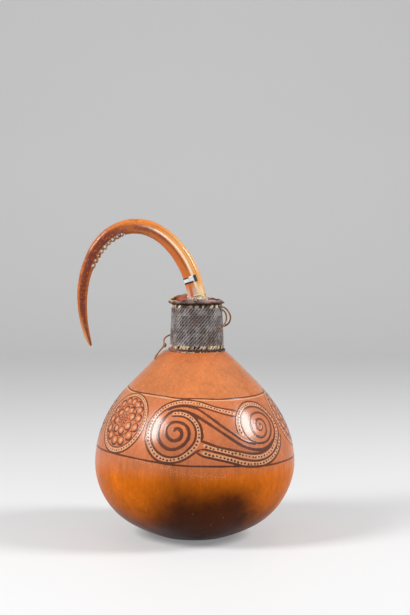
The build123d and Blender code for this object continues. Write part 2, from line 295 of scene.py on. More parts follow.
def refinish(node, finish):
    """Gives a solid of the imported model, which stays in view, a finish of this scene."""
    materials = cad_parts[node].data.materials
    materials.clear()
    materials.append(finish)


def smooth_line(stations, first_run, last_run, count):
    """Points on a curve through the stations that leaves and arrives in the given directions. Each
    stretch is a cubic, and at every station slope and curvature run on without a break."""
    stations = np.array(stations, float)
    gaps = np.linalg.norm(np.diff(stations, axis=0), axis=1)
    knots = np.concatenate([[0], np.cumsum(gaps)])
    system = np.eye(len(stations))
    known = np.zeros_like(stations)
    known[0] = np.array(first_run) / np.linalg.norm(first_run)
    known[-1] = np.array(last_run) / np.linalg.norm(last_run)
    for row in range(1, len(stations) - 1):
        before, after = gaps[row - 1], gaps[row]
        system[row, row - 1 : row + 2] = after, 2 * (before + after), before
        rise_in = after / before * (stations[row] - stations[row - 1])
        rise_out = before / after * (stations[row + 1] - stations[row])
        known[row] = 3 * (rise_in + rise_out)
    runs = np.linalg.solve(system, known)
    where = np.linspace(0, knots[-1], count)
    piece = np.clip(np.searchsorted(knots, where, side="right") - 1, 0, len(gaps) - 1)
    share = ((where - knots[piece]) / gaps[piece])[:, None]
    span = gaps[piece][:, None]
    start = (2 * share**3 - 3 * share**2 + 1) * stations[piece]
    start_run = (share**3 - 2 * share**2 + share) * span * runs[piece]
    end = (3 * share**2 - 2 * share**3) * stations[piece + 1]
    end_run = (share**3 - share**2) * span * runs[piece + 1]
    return start + start_run + end + end_run


def even_line(points, spacing):
    """The same line, cut again at even steps of about the given spacing."""
    reach = np.concatenate([[0], np.cumsum(np.linalg.norm(np.diff(points, axis=0), axis=1))])
    count = max(3, int(round(reach[-1] / spacing)) + 1)
    where = np.linspace(0, reach[-1], count)
    return np.stack([np.interp(where, reach, points[:, axis]) for axis in range(points.shape[1])], axis=-1)


def traced(stations, spacing):
    """A smooth line through given points, cut at even steps."""
    stations = np.array(stations, float)
    line = smooth_line(stations, stations[1] - stations[0], stations[-1] - stations[-2], 40 * len(stations))
    return even_line(line, spacing)


rng = np.random.default_rng(7)


def waver(count, scale, seed):
    """A soft random row of numbers from about -1 to 1 that changes over the given number of steps."""
    knots = int(np.ceil(count / scale)) + 3
    values = np.random.default_rng(seed).uniform(-1, 1, knots)
    where = np.arange(count) / scale
    piece = where.astype(int)
    share = where - piece
    share = share * share * (3 - 2 * share)
    return values[piece] * (1 - share) + values[piece + 1] * share

# %% [markdown]
# ## Cords
#
# Three ends of the collar's binding cord stand free: two strands of a loop at the right and a short
# knotted end at the left. Each is one smooth NURBS curve through the same route as its solid, because
# a limp cord has no corners. They come first, since their solids must move if they don't fit.

# %% Cord routes and curves
CORD_DIAMETER = 1.0
STRANDS, TWIST_PITCH, CORD_STEP = 3, 3.4, 0.12
LOOP_ROUTE = [
    (20.3, -9.7, 195.4),
    (24.6, -9.8, 195.0),
    (28.4, -7.6, 191.8),
    (31.0, -4.0, 186.8),
    (30.4, 1.2, 181.4),
    (27.2, 6.4, 177.8),
    (22.0, 9.6, 175.8),
]
INNER_ROUTE = [
    (20.3, 11.3, 191.9),
    (24.3, 9.6, 191.6),
    (27.3, 4.6, 188.4),
    (27.6, -1.4, 183.6),
    (25.9, -6.6, 179.6),
    (22.9, -11.4, 176.2),
    (18.4, -15.1, 173.6),
]
TAIL_ROUTE = [
    (-19.2, 6.2, 170.4),
    (-23.6, 5.6, 169.2),
    (-26.5, 1.6, 165.8),
    (-25.2, -3.0, 161.8),
    (-28.8, -5.0, 158.0),
    (-31.8, -5.2, 153.9),
    (-33.8, -7.6, 150.4),
]


def route_curve(name, route):
    """An open NURBS curve of order 3 that starts and ends at the route's own ends."""
    data = bpy.data.curves.new(name, "CURVE")
    data.dimensions = "3D"
    data.resolution_u = 16
    line = data.splines.new("NURBS")
    line.points.add(len(route) - 1)
    for point, place in zip(line.points, route):
        point.co = (*(MM * part for part in place), 1)
    line.order_u = 3
    line.use_endpoint_u = True
    return placed(name, data)


def route_points(name, route):
    """Close points on a route's NURBS line, in millimetres, read from the curve itself."""
    bare = route_curve(name, route)
    bpy.context.view_layer.update()
    line = bpy.data.meshes.new_from_object(bare)
    points = np.empty(len(line.vertices) * 3)
    line.vertices.foreach_get("co", points)
    bpy.data.objects.remove(bare)
    return points.reshape(-1, 3) / MM


def frames_along(line):
    """Two directions across a line at each of its points, which turn as little as possible on the way:
    each step carries the last one over and squares it up again."""
    along = np.gradient(line, axis=0)
    along /= np.linalg.norm(along, axis=1, keepdims=True)
    first = np.cross(along[0], (0, 0, 1.0))
    if np.linalg.norm(first) < 0.1:
        first = np.cross(along[0], (0, 1.0, 0))
    across = np.empty_like(along)
    for step, direction in enumerate(along):
        first = first - direction * (first @ direction)
        first = first / np.linalg.norm(first)
        across[step] = first
    return across, np.cross(along, across)


def plied(name, route):
    """A twisted cord: round strands that wind about the route's line. A strand's middle circles the
    line once in a pitch, and its own section is a circle that turns with it."""
    line = even_line(route_points(name, route), CORD_STEP)
    side, up = frames_along(line)
    reach = np.arange(len(line)) * CORD_STEP
    strand_radius = CORD_DIAMETER / 4
    angle = 2 * pi * reach / TWIST_PITCH
    offsets = 2 * pi * np.arange(STRANDS) / STRANDS
    turn = (angle[None] + offsets[:, None])[..., None]
    middles = line + 1.3 * strand_radius * (np.cos(turn) * side + np.sin(turn) * up)
    round_ = np.linspace(0, 2 * pi, 8, endpoint=False)[None, None, :, None]
    swell = 1.7 + 0.16 * waver(len(line), 9, 3)[None, :, None, None]
    end = np.clip(np.minimum(reach, reach[-1] - reach) / 0.25, 0, 1)[None, :, None, None] ** 0.5
    section = np.cos(round_) * side[None, :, None] + np.sin(round_) * up[None, :, None]
    return Sheaf().add(middles[:, :, None] + strand_radius * swell * end * section, round_columns=True)


def fibre_recipe(dark, light):
    """Old plant fibre: strand by strand a little lighter or darker, with patches of dirt."""
    def recipe(place, chart):
        strand = noise(place, 900.0, 3.0)
        dirt = rise(noise(place, 160.0, 2.0), 0.42, 0.7)
        tint = blend(strand, dark, light)
        return {
            "Base Color": shade(tint, 1.08 - 0.5 * dirt),
            "Roughness": 0.62 + 0.25 * strand,
            "Bump": (noise(place, 2600.0, 3.0), 0.12 * MM),
        }
    return recipe


MATT = {"Specular IOR Level": 0.2}
cord_finish = finish_of("cord_fibre", "cord", fibre_recipe(srgb(96, 60, 36), srgb(222, 172, 120)), MATT)
for name, route, length, far_end, pieces in (
    ("loop_cord", LOOP_ROUTE, 36.9, "object", []),
    ("inner_loop_cord", INNER_ROUTE, 38.1, "object", []),
    ("tail_cord", TAIL_ROUTE, 31.2, "bare", ["tail_knot"]),
):
    strand = plied(name + "_line", route).piece(name + "_strands", "gourd", cord_finish, [name])
    (route_points(name + "_path", route) * MM).tolist()

# %% [markdown]
# ## Where things are on the gourd
#
# The gourd is a body of revolution that grew a little unevenly. Its outline is the smooth curve of the
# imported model. A place on its skin is given by two numbers in millimetres, the way round and the way
# up, stretched so that small shapes keep their proportions everywhere, as on a sea chart. Both the
# shell and the burnt ornament are made with the same rule, so that the ornament lies on the skin.

# %% The gourd's outline and its chart
BASE_RADIUS = 30.5
BASE_RISE = radians(20)
HEEL = (67.0, 20.0)
BELLY = (85.4, 62.0)
SHOULDER = (71.6, 108.0)
SLOPE = (41.0, 143.0)
SEAT = (25.6, 157.2)
SEAT_SLOPE = radians(36)
SHELL_WALL = 3.2
NECK_OFFSET = 2.2
MOUTH_RADIUS = 21.1
CHART_RADIUS = 80.0

lower_wall = smooth_line([(BASE_RADIUS, 0), HEEL, BELLY], (np.cos(BASE_RISE), np.sin(BASE_RISE)), (0, 1), 400)
upper_wall = smooth_line([BELLY, SHOULDER, SLOPE, SEAT], (0, 1), (-np.cos(SEAT_SLOPE), np.sin(SEAT_SLOPE)), 600)
outline = even_line(np.concatenate([lower_wall, upper_wall[1:]]), 0.1)
outline_step = np.linalg.norm(np.diff(outline, axis=0), axis=1)
outline_run = np.gradient(outline, axis=0)
outline_run /= np.linalg.norm(outline_run, axis=1, keepdims=True)
outline_normal = np.stack([outline_run[:, 1], -outline_run[:, 0]], axis=-1)
climb = np.concatenate([[0], np.cumsum(outline_step / (0.5 * (outline[1:, 0] + outline[:-1, 0])))])
climb = CHART_RADIUS * (climb - np.interp(BELLY[1], outline[:, 1], climb))


def ramp(value, start, width):
    """0 up to start and 1 from a width further on, with a straight line between; width may be below 0."""
    return np.clip((value - start) / width, 0, 1)


def unevenness(angle, height):
    """How far the skin stands in or out of the true outline: a few slow waves round and up the belly
    and a shallow dent low on the front, both fading out at the base and the neck."""
    fade = ramp(height, 0, 12) * ramp(height, 135, -30)
    waves = 0.32 * np.sin(2 * angle + 0.6) + 0.22 * np.sin(3 * angle - height / 21)
    waves = waves + 0.16 * np.sin(5 * angle + height / 15 + 1.3)
    dent = -0.9 * np.exp(-((angle + 0.16) / 0.09) ** 2 - ((height - 34 + 55 * (angle + 0.16)) / 9) ** 2)
    return fade * waves + dent


def on_gourd(way_round, way_up, lift=0.0):
    """The place in millimetres of a point of the chart, lifted off the skin along its normal."""
    angle = way_round / CHART_RADIUS
    radius = np.interp(way_up, climb, outline[:, 0])
    height = np.interp(way_up, climb, outline[:, 1])
    out = np.interp(way_up, climb, outline_normal[:, 0])
    over = np.interp(way_up, climb, outline_normal[:, 1])
    lift = lift + unevenness(angle, height)
    radius = radius + lift * out
    return np.stack([radius * np.sin(angle), -radius * np.cos(angle), height + lift * over], axis=-1)


print("outline", len(outline), "points, way up from", round(climb[0], 1), "to", round(climb[-1], 1))

# %% [markdown]
# ## The gourd's skin
#
# Polished gourd is warm and a little translucent-looking: pinkish brown round the shoulder where
# hands have rubbed it, deeper orange below and darker again towards the base as painted shade. A
# dark patch under the front of the belly is painted shade, and random smoke stains darken the skin
# low down, with fine upright fibres and many small scars. The burnt band, the scraped ground of its
# dotted strips and the bare skin are one finish with two masks, so that their edges meet without a
# step in colour.

# %% Skin colour
SHOULDER_TINT = srgb(196, 114, 62)
BAND_TINT = srgb(198, 112, 66)
BELLY_TINT = srgb(208, 104, 6)
# The foot tint is painted shade towards the base. The smoke tint is painted shade at the front of the belly and also
# the colour of real smoke stains.
FOOT_SHADE_TINT = srgb(112, 46, 4)
SMOKE_AND_SHADE_TINT = srgb(60, 20, 2)
BURNT_TINT = srgb(70, 25, 7)
SCRAPED_TINT = srgb(228, 172, 128)
POLISH_LOW, POLISH_MORE = 0.06, 0.64
POLISHED = {"Coat Roughness": 0.2, "Specular IOR Level": 0.05}


def skin_colour(place):
    """The bare skin's colour and its fine grain, from the place on the object alone."""
    x, y, z = parts(place)
    cloud = noise(place, 22.0, 4.0, 0.6)
    # Painted shade: the skin darkens to the foot tint towards the base.
    colour = blend(rise(z + 0.01 * cloud, 0.010, 0.042), FOOT_SHADE_TINT, BELLY_TINT)
    colour = blend(rise(z + 0.008 * cloud, 0.062, 0.078), colour, BAND_TINT)
    colour = blend(rise(z, 0.112, 0.130), colour, SHOULDER_TINT)
    colour = blend(0.6 * rise(z + 0.01 * cloud, 0.150, 0.164), colour, srgb(170, 80, 30))
    drift = 0.022 * (noise(place, 30.0, 4.0, 0.65) - 0.5)
    # Painted shade: a dark patch low on the front middle of the belly, where the side lamps light it less. The random
    # patches added after it are smoke stains.
    middle = rise(abs(x - 0.010) + drift, 0.056, 0.020) * rise(y, -0.010, -0.040)
    smoke_and_shade = middle * rise(z + drift, 0.066, 0.034)
    smoke_and_shade = smoke_and_shade + 0.35 * rise(noise(place, 19.0, 4.0, 0.7), 0.5, 0.72) * rise(z + drift, 0.06, 0.03)
    colour = blend(0.9 * at_most_one(smoke_and_shade), colour, SMOKE_AND_SHADE_TINT)
    fibres = noise(place, 420.0, 3.0, 0.6, (1.0, 1.0, 0.06))
    blotches = noise(place, 34.0, 6.0, 0.68)
    patches = 0.5 + (noise(place, 15.0, 3.0, 0.6) - 0.5) * rise(z, 0.075, 0.06)
    mottle = noise(place, 260.0, 4.0, 0.72)
    fine = noise(place, 900.0, 3.0, 0.6, (1.0, 1.0, 0.14))
    depth = 0.5 * fibres + 0.90 * blotches + 0.40 * mottle + 0.34 * fine
    colour = shade(colour, depth + 0.9 * (patches - 0.5) - 0.04)
    pores = rise(cells(place, 420.0), 0.2, 0.07) * rise(noise(place, 60.0), 0.40, 0.56)
    colour = shade(colour, 1 - 0.45 * pores)
    chalk = rise(noise(place, 560.0, 3.0, 0.6, (1.0, 1.0, 0.3)), 0.64, 0.76)
    chalk = chalk * rise(noise(place, 30.0, 3.0), 0.46, 0.64)
    colour = blend(0.55 * chalk, colour, srgb(232, 180, 136))
    return colour, fibres, blotches


def skin_recipe(place, chart):
    colour, fibres, blotches = skin_colour(place)
    scratches = rise(noise(place, 240.0, 2.0, 0.5, (1.0, 1.0, 0.12)), 0.62, 0.75)
    dull = rise(noise(place, 40.0, 3.0), 0.4, 0.75)
    height = 0.5 * noise(place, 150.0, 4.0, 0.55) + 0.2 * fibres - 0.2 * scratches
    return {
        "Base Color": colour,
        "Roughness": 0.26 + 0.16 * dull + 0.08 * blotches,
        "Coat Weight": POLISH_LOW + POLISH_MORE * rise(parts(place)[2], 0.052, 0.082),
        "Bump": (height, 0.12 * MM),
    }


skin_finish = finish_of("gourd_skin", "gourd", skin_recipe, POLISHED)


def inside_recipe(place, chart):
    cloud = noise(place, 60.0, 4.0)
    dust = rise(noise(place, 35.0, 4.0), 0.42, 0.6)
    wood = blend(cloud, srgb(136, 98, 62), srgb(186, 148, 104))
    return {
        "Base Color": blend(dust, wood, srgb(226, 220, 206)),
        "Roughness": 0.85 + 0.1 * cloud,
        "Bump": (noise(place, 300.0, 4.0) + dust, 0.4 * MM),
    }


inside_finish = finish_of("gourd_inside", "gourd", inside_recipe)

# %% [markdown]
# ## The shell
#
# The shell is one closed wall: up the outside from the middle of the base, over the flat seat under
# the collar, down through the mouth and back along the inside. The table's columns go round, and its
# rows follow that line, with the mouth's rows centred on the neck, which stands a little to the right.

# %% Shell
COLUMNS = 336
ROW_STEP = 1.15


def revolved(line, columns=COLUMNS, centre=0.0):
    """A line of radius and height turned round an upright axis that crosses X at centre."""
    angle = np.linspace(0, 2 * pi, columns, endpoint=False)[None]
    x = line[:, :1] * np.sin(angle) + centre
    return np.stack([x, -line[:, :1] * np.cos(angle), np.broadcast_to(line[:, 1:], x.shape)], axis=-1)


turns = np.linspace(0, 2 * pi * CHART_RADIUS, COLUMNS, endpoint=False)
ways_up = np.interp(np.linspace(0, 1, int(len(outline) * 0.1 / ROW_STEP)), np.linspace(0, 1, len(outline)), climb)
base_rows = revolved(np.stack([np.linspace(0, BASE_RADIUS, 14)[:-1], np.zeros(13)], axis=-1))
wall_rows = on_gourd(turns[None], ways_up[:, None])
seat_rows = revolved(np.stack([np.linspace(SEAT[0], MOUTH_RADIUS, 5)[1:], np.full(4, SEAT[1])], axis=-1))
seat_rows[..., 0] += (NECK_OFFSET * np.linspace(0, 1, 5)[1:])[:, None]
inner_line = even_line(outline - SHELL_WALL * outline_normal, 2.6)[::-1]
inner_line = inner_line[(inner_line[:, 0] > BASE_RADIUS - 2) | (inner_line[:, 1] > 60)]
inner_line = inner_line[(inner_line[:, 1] < 60) | (inner_line[:, 0] > MOUTH_RADIUS + 2)]
mouth_line = np.array([(MOUTH_RADIUS, SEAT[1] - 1.5), (MOUTH_RADIUS, inner_line[0, 1] + 0.5)])
mouth_rows = revolved(mouth_line, centre=NECK_OFFSET)
floor_line = np.stack([np.linspace(inner_line[-1, 0], 0, 8)[1:], np.full(7, SHELL_WALL)], axis=-1)
inner_rows = revolved(np.concatenate([inner_line, floor_line]))
outside = Sheaf().add(np.concatenate([base_rows, wall_rows, seat_rows]), round_columns=True)
outside.piece("gourd_skin", "gourd", skin_finish, ["gourd_shell"])
inside = Sheaf().add(np.concatenate([seat_rows[-1:], mouth_rows, inner_rows]), round_columns=True)
inside.piece("gourd_inside", "gourd", inside_finish, ["gourd_shell"])

# %% [markdown]
# ## The burnt ornament
#
# The pattern was drawn on the skin with a glowing point: running scrolls and rosettes between two
# lines, with dotted strips scraped pale first. A picture of it could be projected on, but drawn as
# thin ribbons and dots that lie on the skin it stays sharp from near by and follows every wave of the
# shell. A ribbon is a line of the chart with a width across it; its edges sink into the skin.

# %% Ribbons and dots
ACROSS = np.array([1.0, 0.55, 0.0, -0.55, -1.0])
LINE_STEP = 0.8


def ribbon(sheaf, line, width, lift, uneven=0.12, seed=0, taper=True, teeth=0.0):
    """A strip along a line of the chart: its half width wavers a little, it is highest in the middle,
    and its edges lie just under the skin. Teeth are small points on one side, left of the way for a
    length above nothing and right for one below."""
    run = np.gradient(line, axis=0)
    run /= np.linalg.norm(run, axis=1, keepdims=True) + 1e-12
    side = np.stack([-run[:, 1], run[:, 0]], axis=-1)
    half = width / 2 * (1 + uneven * waver(len(line), 2.2, seed) + 0.5 * uneven * waver(len(line), 7, seed + 1))
    if taper:
        ends = np.minimum(np.arange(len(line)), np.arange(len(line))[::-1])
        half = half * np.clip(0.35 + ends / 2.5, 0, 1)
    reach = half[:, None] * ACROSS[None]
    point = abs(teeth) * (np.arange(len(line)) % 2)[:, None] * np.clip(ACROSS * np.sign(teeth), 0, 1)[None]
    spread = line[:, None] + (reach + np.sign(teeth) * point)[..., None] * side[:, None]
    height = lift * (1 - ACROSS**4) - 0.02 * ACROSS**4
    points = on_gourd(spread[..., 0], spread[..., 1], np.broadcast_to(height, spread.shape[:2]))
    sheaf.add(points, chart=(np.arange(len(line)) * LINE_STEP, (1 + ACROSS) / 2))


def dots(sheaf, middles, size, lift, corners=8):
    """Low round dots on the skin at the given places of the chart, none of them quite round."""
    turn = np.linspace(0, 2 * pi, corners, endpoint=False)
    chance = np.random.default_rng(len(middles))
    radius = size / 2 * chance.uniform(0.85, 1.15, (len(middles), 1))
    radius = radius * chance.uniform(0.85, 1.15, (len(middles), corners))
    reach = np.stack([radius, 0.94 * radius, 0.5 * radius, 0 * radius], axis=1)
    way_round = middles[:, :1, None] + reach * np.cos(turn)
    way_up = middles[:, 1:, None] + reach * np.sin(turn)
    height = np.broadcast_to(np.array([-0.02, 0.8 * lift, lift, lift])[None, :, None], way_round.shape)
    chart = (np.array([0.1, 0.2, 0.35, 0.5]), np.full(corners + 1, 0.5))
    sheaf.add(on_gourd(way_round, way_up, height), round_columns=True, chart=chart)


def ring(middle, radius, step=LINE_STEP, tilt=1.0):
    """A closed circle of the chart, or an ellipse where tilt is its height over its width."""
    turn = np.linspace(0, 2 * pi, max(12, int(2 * pi * radius / step)) + 1)
    return np.stack([middle[0] + radius * np.cos(turn), middle[1] + tilt * radius * np.sin(turn)], axis=-1)


# %% [markdown]
# ### The scrolls
#
# The front panel is one drawing. The left spiral unwinds twice and runs down into the right one, which
# has three turns. One dotted strip winds round the left spiral and swings over to the right; two more
# swing under and round the right spiral. The lines below are points listed on the chart. The
# back isn't seen, and carries the same panel half a turn away, as such gourds usually do.

# %% Lines of the scroll panel
COMMA = [
    (-17.2, 36.8), (-15.6, 39.2), (-13.0, 39.4), (-10.6, 37.6), (-9.6, 34.6), (-10.4, 31.4), (-13.0, 29.2),
    (-16.0, 28.6),
]
LEFT_COIL = COMMA[-2:] + [
    (-19.6, 30.0), (-22.6, 33.0), (-23.8, 37.2), (-22.8, 41.6), (-19.6, 44.6), (-15.0, 45.5), (-10.2, 44.5),
    (-6.2, 41.8), (-3.9, 37.6), (-3.7, 32.8), (-5.6, 28.2), (-9.2, 24.6), (-13.8, 22.3), (-18.6, 21.7), (-23.0, 23.2),
    (-27.0, 26.6), (-29.8, 31.4), (-30.6, 37.0), (-29.8, 42.8), (-27.4, 48.0), (-24.0, 53.0), (-19.8, 56.0),
    (-14.8, 57.2), (-9.0, 56.6), (-4.0, 55.0), (0.2, 53.0), (4.0, 50.4), (8.0, 47.5), (12.4, 44.3), (17.2, 40.7),
    (22.4, 36.6), (28.0, 32.4), (33.4, 28.4), (38.8, 24.8), (45.4, 21.8), (52.6, 19.8), (59.4, 19.2), (65.6, 20.2),
    (71.2, 22.8), (74.6, 25.6),
]
STRIP_INNER = [
    (-20.4, 50.8), (-14.5, 51.0), (-8.4, 50.0), (-3.7, 47.2), (-0.7, 43.8), (1.2, 40.0), (1.9, 36.0), (1.6, 31.8),
    (0.4, 28.0), (-1.8, 24.8), (-4.9, 21.6), (-8.4, 18.7), (-12.4, 16.7), (-16.8, 15.9), (-21.6, 16.3), (-26.2, 18.1),
    (-30.6, 21.2), (-34.0, 25.5), (-36.3, 31.0), (-36.9, 37.0), (-36.1, 43.0), (-34.2, 48.6), (-31.0, 53.4),
    (-26.6, 57.6), (-21.6, 60.6), (-16.0, 62.4), (-10.0, 63.2), (-4.6, 62.9), (0.2, 61.7), (5.2, 60.7), (11.0, 59.5),
    (17.0, 57.0), (23.0, 54.6), (28.0, 52.7), (32.5, 51.2), (36.0, 50.2), (39.0, 49.4),
]
STRIP_OUTER = [
    (6.2, 28.6), (6.9, 33.0), (6.6, 37.8), (5.4, 42.4), (3.2, 46.6), (0.8, 50.2), (-2.2, 53.0), (-6.6, 55.6),
]
LEFT_RIM = [
    (5.4, 22.0), (1.0, 19.6), (-3.2, 16.6), (-8.0, 13.9), (-13.0, 12.2), (-18.4, 11.5), (-24.0, 11.7), (-29.2, 13.4),
    (-33.4, 16.4), (-37.0, 20.6), (-39.7, 25.4), (-41.3, 31.0), (-41.7, 37.0), (-41.0, 43.2), (-39.2, 49.2),
    (-36.4, 54.6), (-32.6, 59.8), (-27.6, 64.2), (-22.0, 67.0), (-15.4, 69.2), (-8.0, 69.8), (0.0, 69.0), (5.2, 67.8),
    (10.4, 65.8), (16.0, 63.2), (22.0, 60.6), (28.2, 58.8), (34.2, 57.4), (39.0, 56.0), (42.6, 55.0),
]
COIL_RIM = [
    (38.9, 33.4), (38.2, 36.8), (38.0, 41.0), (38.6, 45.4), (40.4, 49.6), (43.2, 53.8), (46.5, 57.7),
    (50.6, 61.4), (55.6, 63.8), (62.4, 64.4), (68.8, 63.2), (74.4, 60.4), (78.8, 56.6), (82.4, 51.8),
    (85.4, 46.0), (87.2, 40.7), (87.8, 35.6),
    (86.4, 30.8), (83.6, 26.6), (80.6, 22.9), (77.4, 19.4), (73.3, 16.4), (68.6, 13.9), (63.8, 12.2), (59.2, 11.3),
    (54.0, 10.9), (48.2, 11.3), (42.4, 12.4), (37.0, 13.8), (31.9, 15.4), (26.8, 16.9), (20.4, 18.9), (14.0, 20.6),
    (8.6, 22.0), (5.4, 22.0),
]
BAND_TOP = [
    (0.8, 60.4), (4.2, 58.5), (8.2, 55.5), (12.6, 51.8), (17.0, 47.8), (21.2, 44.0), (25.6, 40.2), (29.5, 37.1),
    (32.5, 34.9), (35.6, 32.4), (39.0, 29.8), (42.6, 27.6), (46.4, 26.0), (50.2, 25.0), (54.4, 24.4),
]
RIGHT_UNDER = [
    (5.6, 28.8), (9.4, 27.4), (14.6, 25.2), (20.4, 23.2), (26.4, 21.6), (32.2, 20.2), (38.4, 18.8), (45.2, 17.2),
    (51.6, 16.4), (57.2, 16.6), (62.0, 17.6), (66.8, 19.4), (71.8, 22.2), (75.8, 25.4), (79.0, 29.1), (81.0, 33.0),
    (82.0, 37.2), (81.8, 41.6), (80.3, 46.0), (77.5, 50.6), (73.2, 54.6), (67.6, 57.2), (61.8, 58.2), (56.3, 57.6),
    (51.4, 55.6), (47.4, 52.2), (44.8, 47.9), (43.5, 43.2), (43.6, 38.5), (44.8, 34.0), (47.0, 30.2), (50.0, 27.2),
    (53.9, 25.2), (58.4, 24.2), (63.0, 24.2), (67.4, 25.4), (71.4, 28.0), (74.6, 31.4), (76.8, 35.6), (77.4, 40.2),
    (76.2, 45.0), (72.8, 48.8), (68.0, 51.0), (62.8, 51.2), (57.8, 49.7), (54.3, 46.4), (52.6, 42.3), (52.5, 37.8),
    (53.8, 33.8), (56.2, 30.6), (59.6, 28.8), (63.8, 29.0), (67.2, 31.1), (69.3, 34.2), (70.2, 37.8), (69.8, 41.6),
    (67.4, 44.3), (63.8, 45.0), (60.4, 43.7), (58.6, 40.9), (58.6, 37.6), (60.0, 35.4),
]
RIGHT_HEART = [(59.6, 36.0), (61.8, 34.6), (64.4, 35.8), (65.8, 38.0), (64.8, 40.0), (62.6, 40.0), (61.8, 38.4)]
LOW_RIM = [
    (2.4, 19.6), (6.4, 17.2), (12.0, 15.5), (18.0, 14.0), (24.0, 12.5), (30.0, 10.8), (36.0, 8.9), (41.6, 7.4),
    (48.0, 6.6), (55.0, 6.4), (62.0, 7.1), (68.4, 8.8), (74.2, 11.8), (79.2, 15.4), (83.6, 19.8), (86.8, 24.4),
    (88.2, 28.4),
]
STRIPS = [
    [(-20.0, 53.6), (-14.5, 54.2), (-8.4, 53.0), (-3.3, 50.0), (0.4, 46.6), (3.0, 42.2), (4.3, 37.4), (4.4, 32.6),
     (3.4, 27.8), (0.6, 23.4), (-3.2, 19.9), (-7.6, 16.8), (-12.6, 14.6), (-17.8, 13.7), (-23.0, 14.1), (-28.2, 16.0),
     (-32.6, 19.6), (-36.2, 24.2), (-38.8, 30.6), (-39.4, 37.0), (-38.6, 43.4), (-36.8, 49.4), (-33.8, 54.4),
     (-29.8, 59.0), (-24.6, 62.6), (-18.6, 65.2), (-12.0, 66.6), (-4.8, 66.6), (1.6, 65.6), (7.0, 64.2), (12.4, 62.0),
     (18.6, 59.6), (24.4, 57.4), (29.4, 55.6), (33.4, 54.4), (36.8, 53.1), (39.8, 52.2)],
    [(42.2, 31.0), (41.2, 34.8), (40.8, 38.8), (40.9, 42.9), (41.8, 47.0), (44.3, 51.3), (47.7, 55.4), (53.2, 59.2),
     (59.2, 61.0), (66.0, 60.7), (72.2, 58.4), (77.8, 53.8), (82.0, 48.2), (84.4, 43.0), (85.0, 37.8), (84.4, 33.2),
     (82.4, 29.0), (79.2, 25.1), (75.6, 21.8), (70.4, 17.8), (64.4, 15.0), (58.6, 13.7), (53.2, 13.5), (48.4, 14.1),
     (43.4, 15.1), (38.9, 16.3), (34.7, 17.5), (28.4, 19.2), (21.0, 21.2), (14.0, 23.1), (7.6, 25.3)],
    [(6.4, 19.4), (12.2, 18.0), (18.6, 16.3), (25.6, 14.4), (31.2, 12.8), (35.8, 11.3), (40.0, 10.1), (44.4, 9.2),
     (48.4, 8.8), (52.6, 8.6), (56.4, 8.7), (60.5, 9.3), (64.2, 10.2), (68.0, 11.4), (71.6, 13.0), (75.1, 15.2),
     (78.2, 17.6), (81.0, 20.2), (83.6, 23.2), (85.4, 26.0)],
]
TOP_ARC = [(-26.0, 57.4), (-20.0, 60.6), (-13.6, 62.1), (-7.0, 62.1), (-1.4, 61.0), (3.4, 59.4)]
print("longest scroll line has", len(RIGHT_UNDER), "points")

# %% [markdown]
# ### Panels, rosettes and border lines
#
# A rosette is a round field: a dotted rim, a ring of circles, a smaller ring of circles and a flower
# of eight petals. Two stand side by side at each end of a panel. The dots' spacing, like the width of
# every line, wavers as a hand does.

# %% Ornament
DOT_SPACING = 3.0
STRIP_WIDTH = 3.4
THIN, PLAIN, BOLD, HEAVY = 0.8, 1.9, 2.7, 2.9
BURNT_LIFT, SCRAPED_LIFT, DOT_LIFT = 0.07, 0.045, 0.085
HALF_TURN = pi * CHART_RADIUS
ROSETTES = (-73.0, 119.0, 119.0 + 60, -73.0 - 57.5)
ROSETTE_HEIGHT = 44.5
TALLER = 1.04
DOTTED_RADIUS = 26.4
PETALS = 8

burnt, scraped = Sheaf(), Sheaf()


def panel(shift):
    """The whole scroll panel, moved round the gourd by shift millimetres of the chart."""
    move = np.array([shift, 0.0])
    lines = (
        (COMMA, HEAVY, -0.9), (LEFT_COIL, BOLD, -0.9), (STRIP_INNER, PLAIN, 0), (STRIP_OUTER, BOLD, 0),
        (LEFT_RIM, PLAIN, 0), (BAND_TOP, BOLD, 0), (RIGHT_UNDER, 2.1, 0.6), (RIGHT_HEART, 1.6, 0),
        (LOW_RIM, PLAIN, 0), (TOP_ARC, HEAVY, -0.8), (COIL_RIM, PLAIN, 0),
    )
    for number, (stations, width, teeth) in enumerate(lines):
        ribbon(burnt, traced(stations, LINE_STEP) + move, width, BURNT_LIFT, seed=number, teeth=teeth)
    for number, stations in enumerate(STRIPS):
        line = traced(stations, LINE_STEP) + move
        ribbon(scraped, line, STRIP_WIDTH, SCRAPED_LIFT, uneven=0.08, seed=40 + number)
        spots = even_line(line, DOT_SPACING)[1:-1]
        spots = spots + 0.22 * np.random.default_rng(5 + number).standard_normal(spots.shape)
        dots(burnt, spots, 1.85, DOT_LIFT)


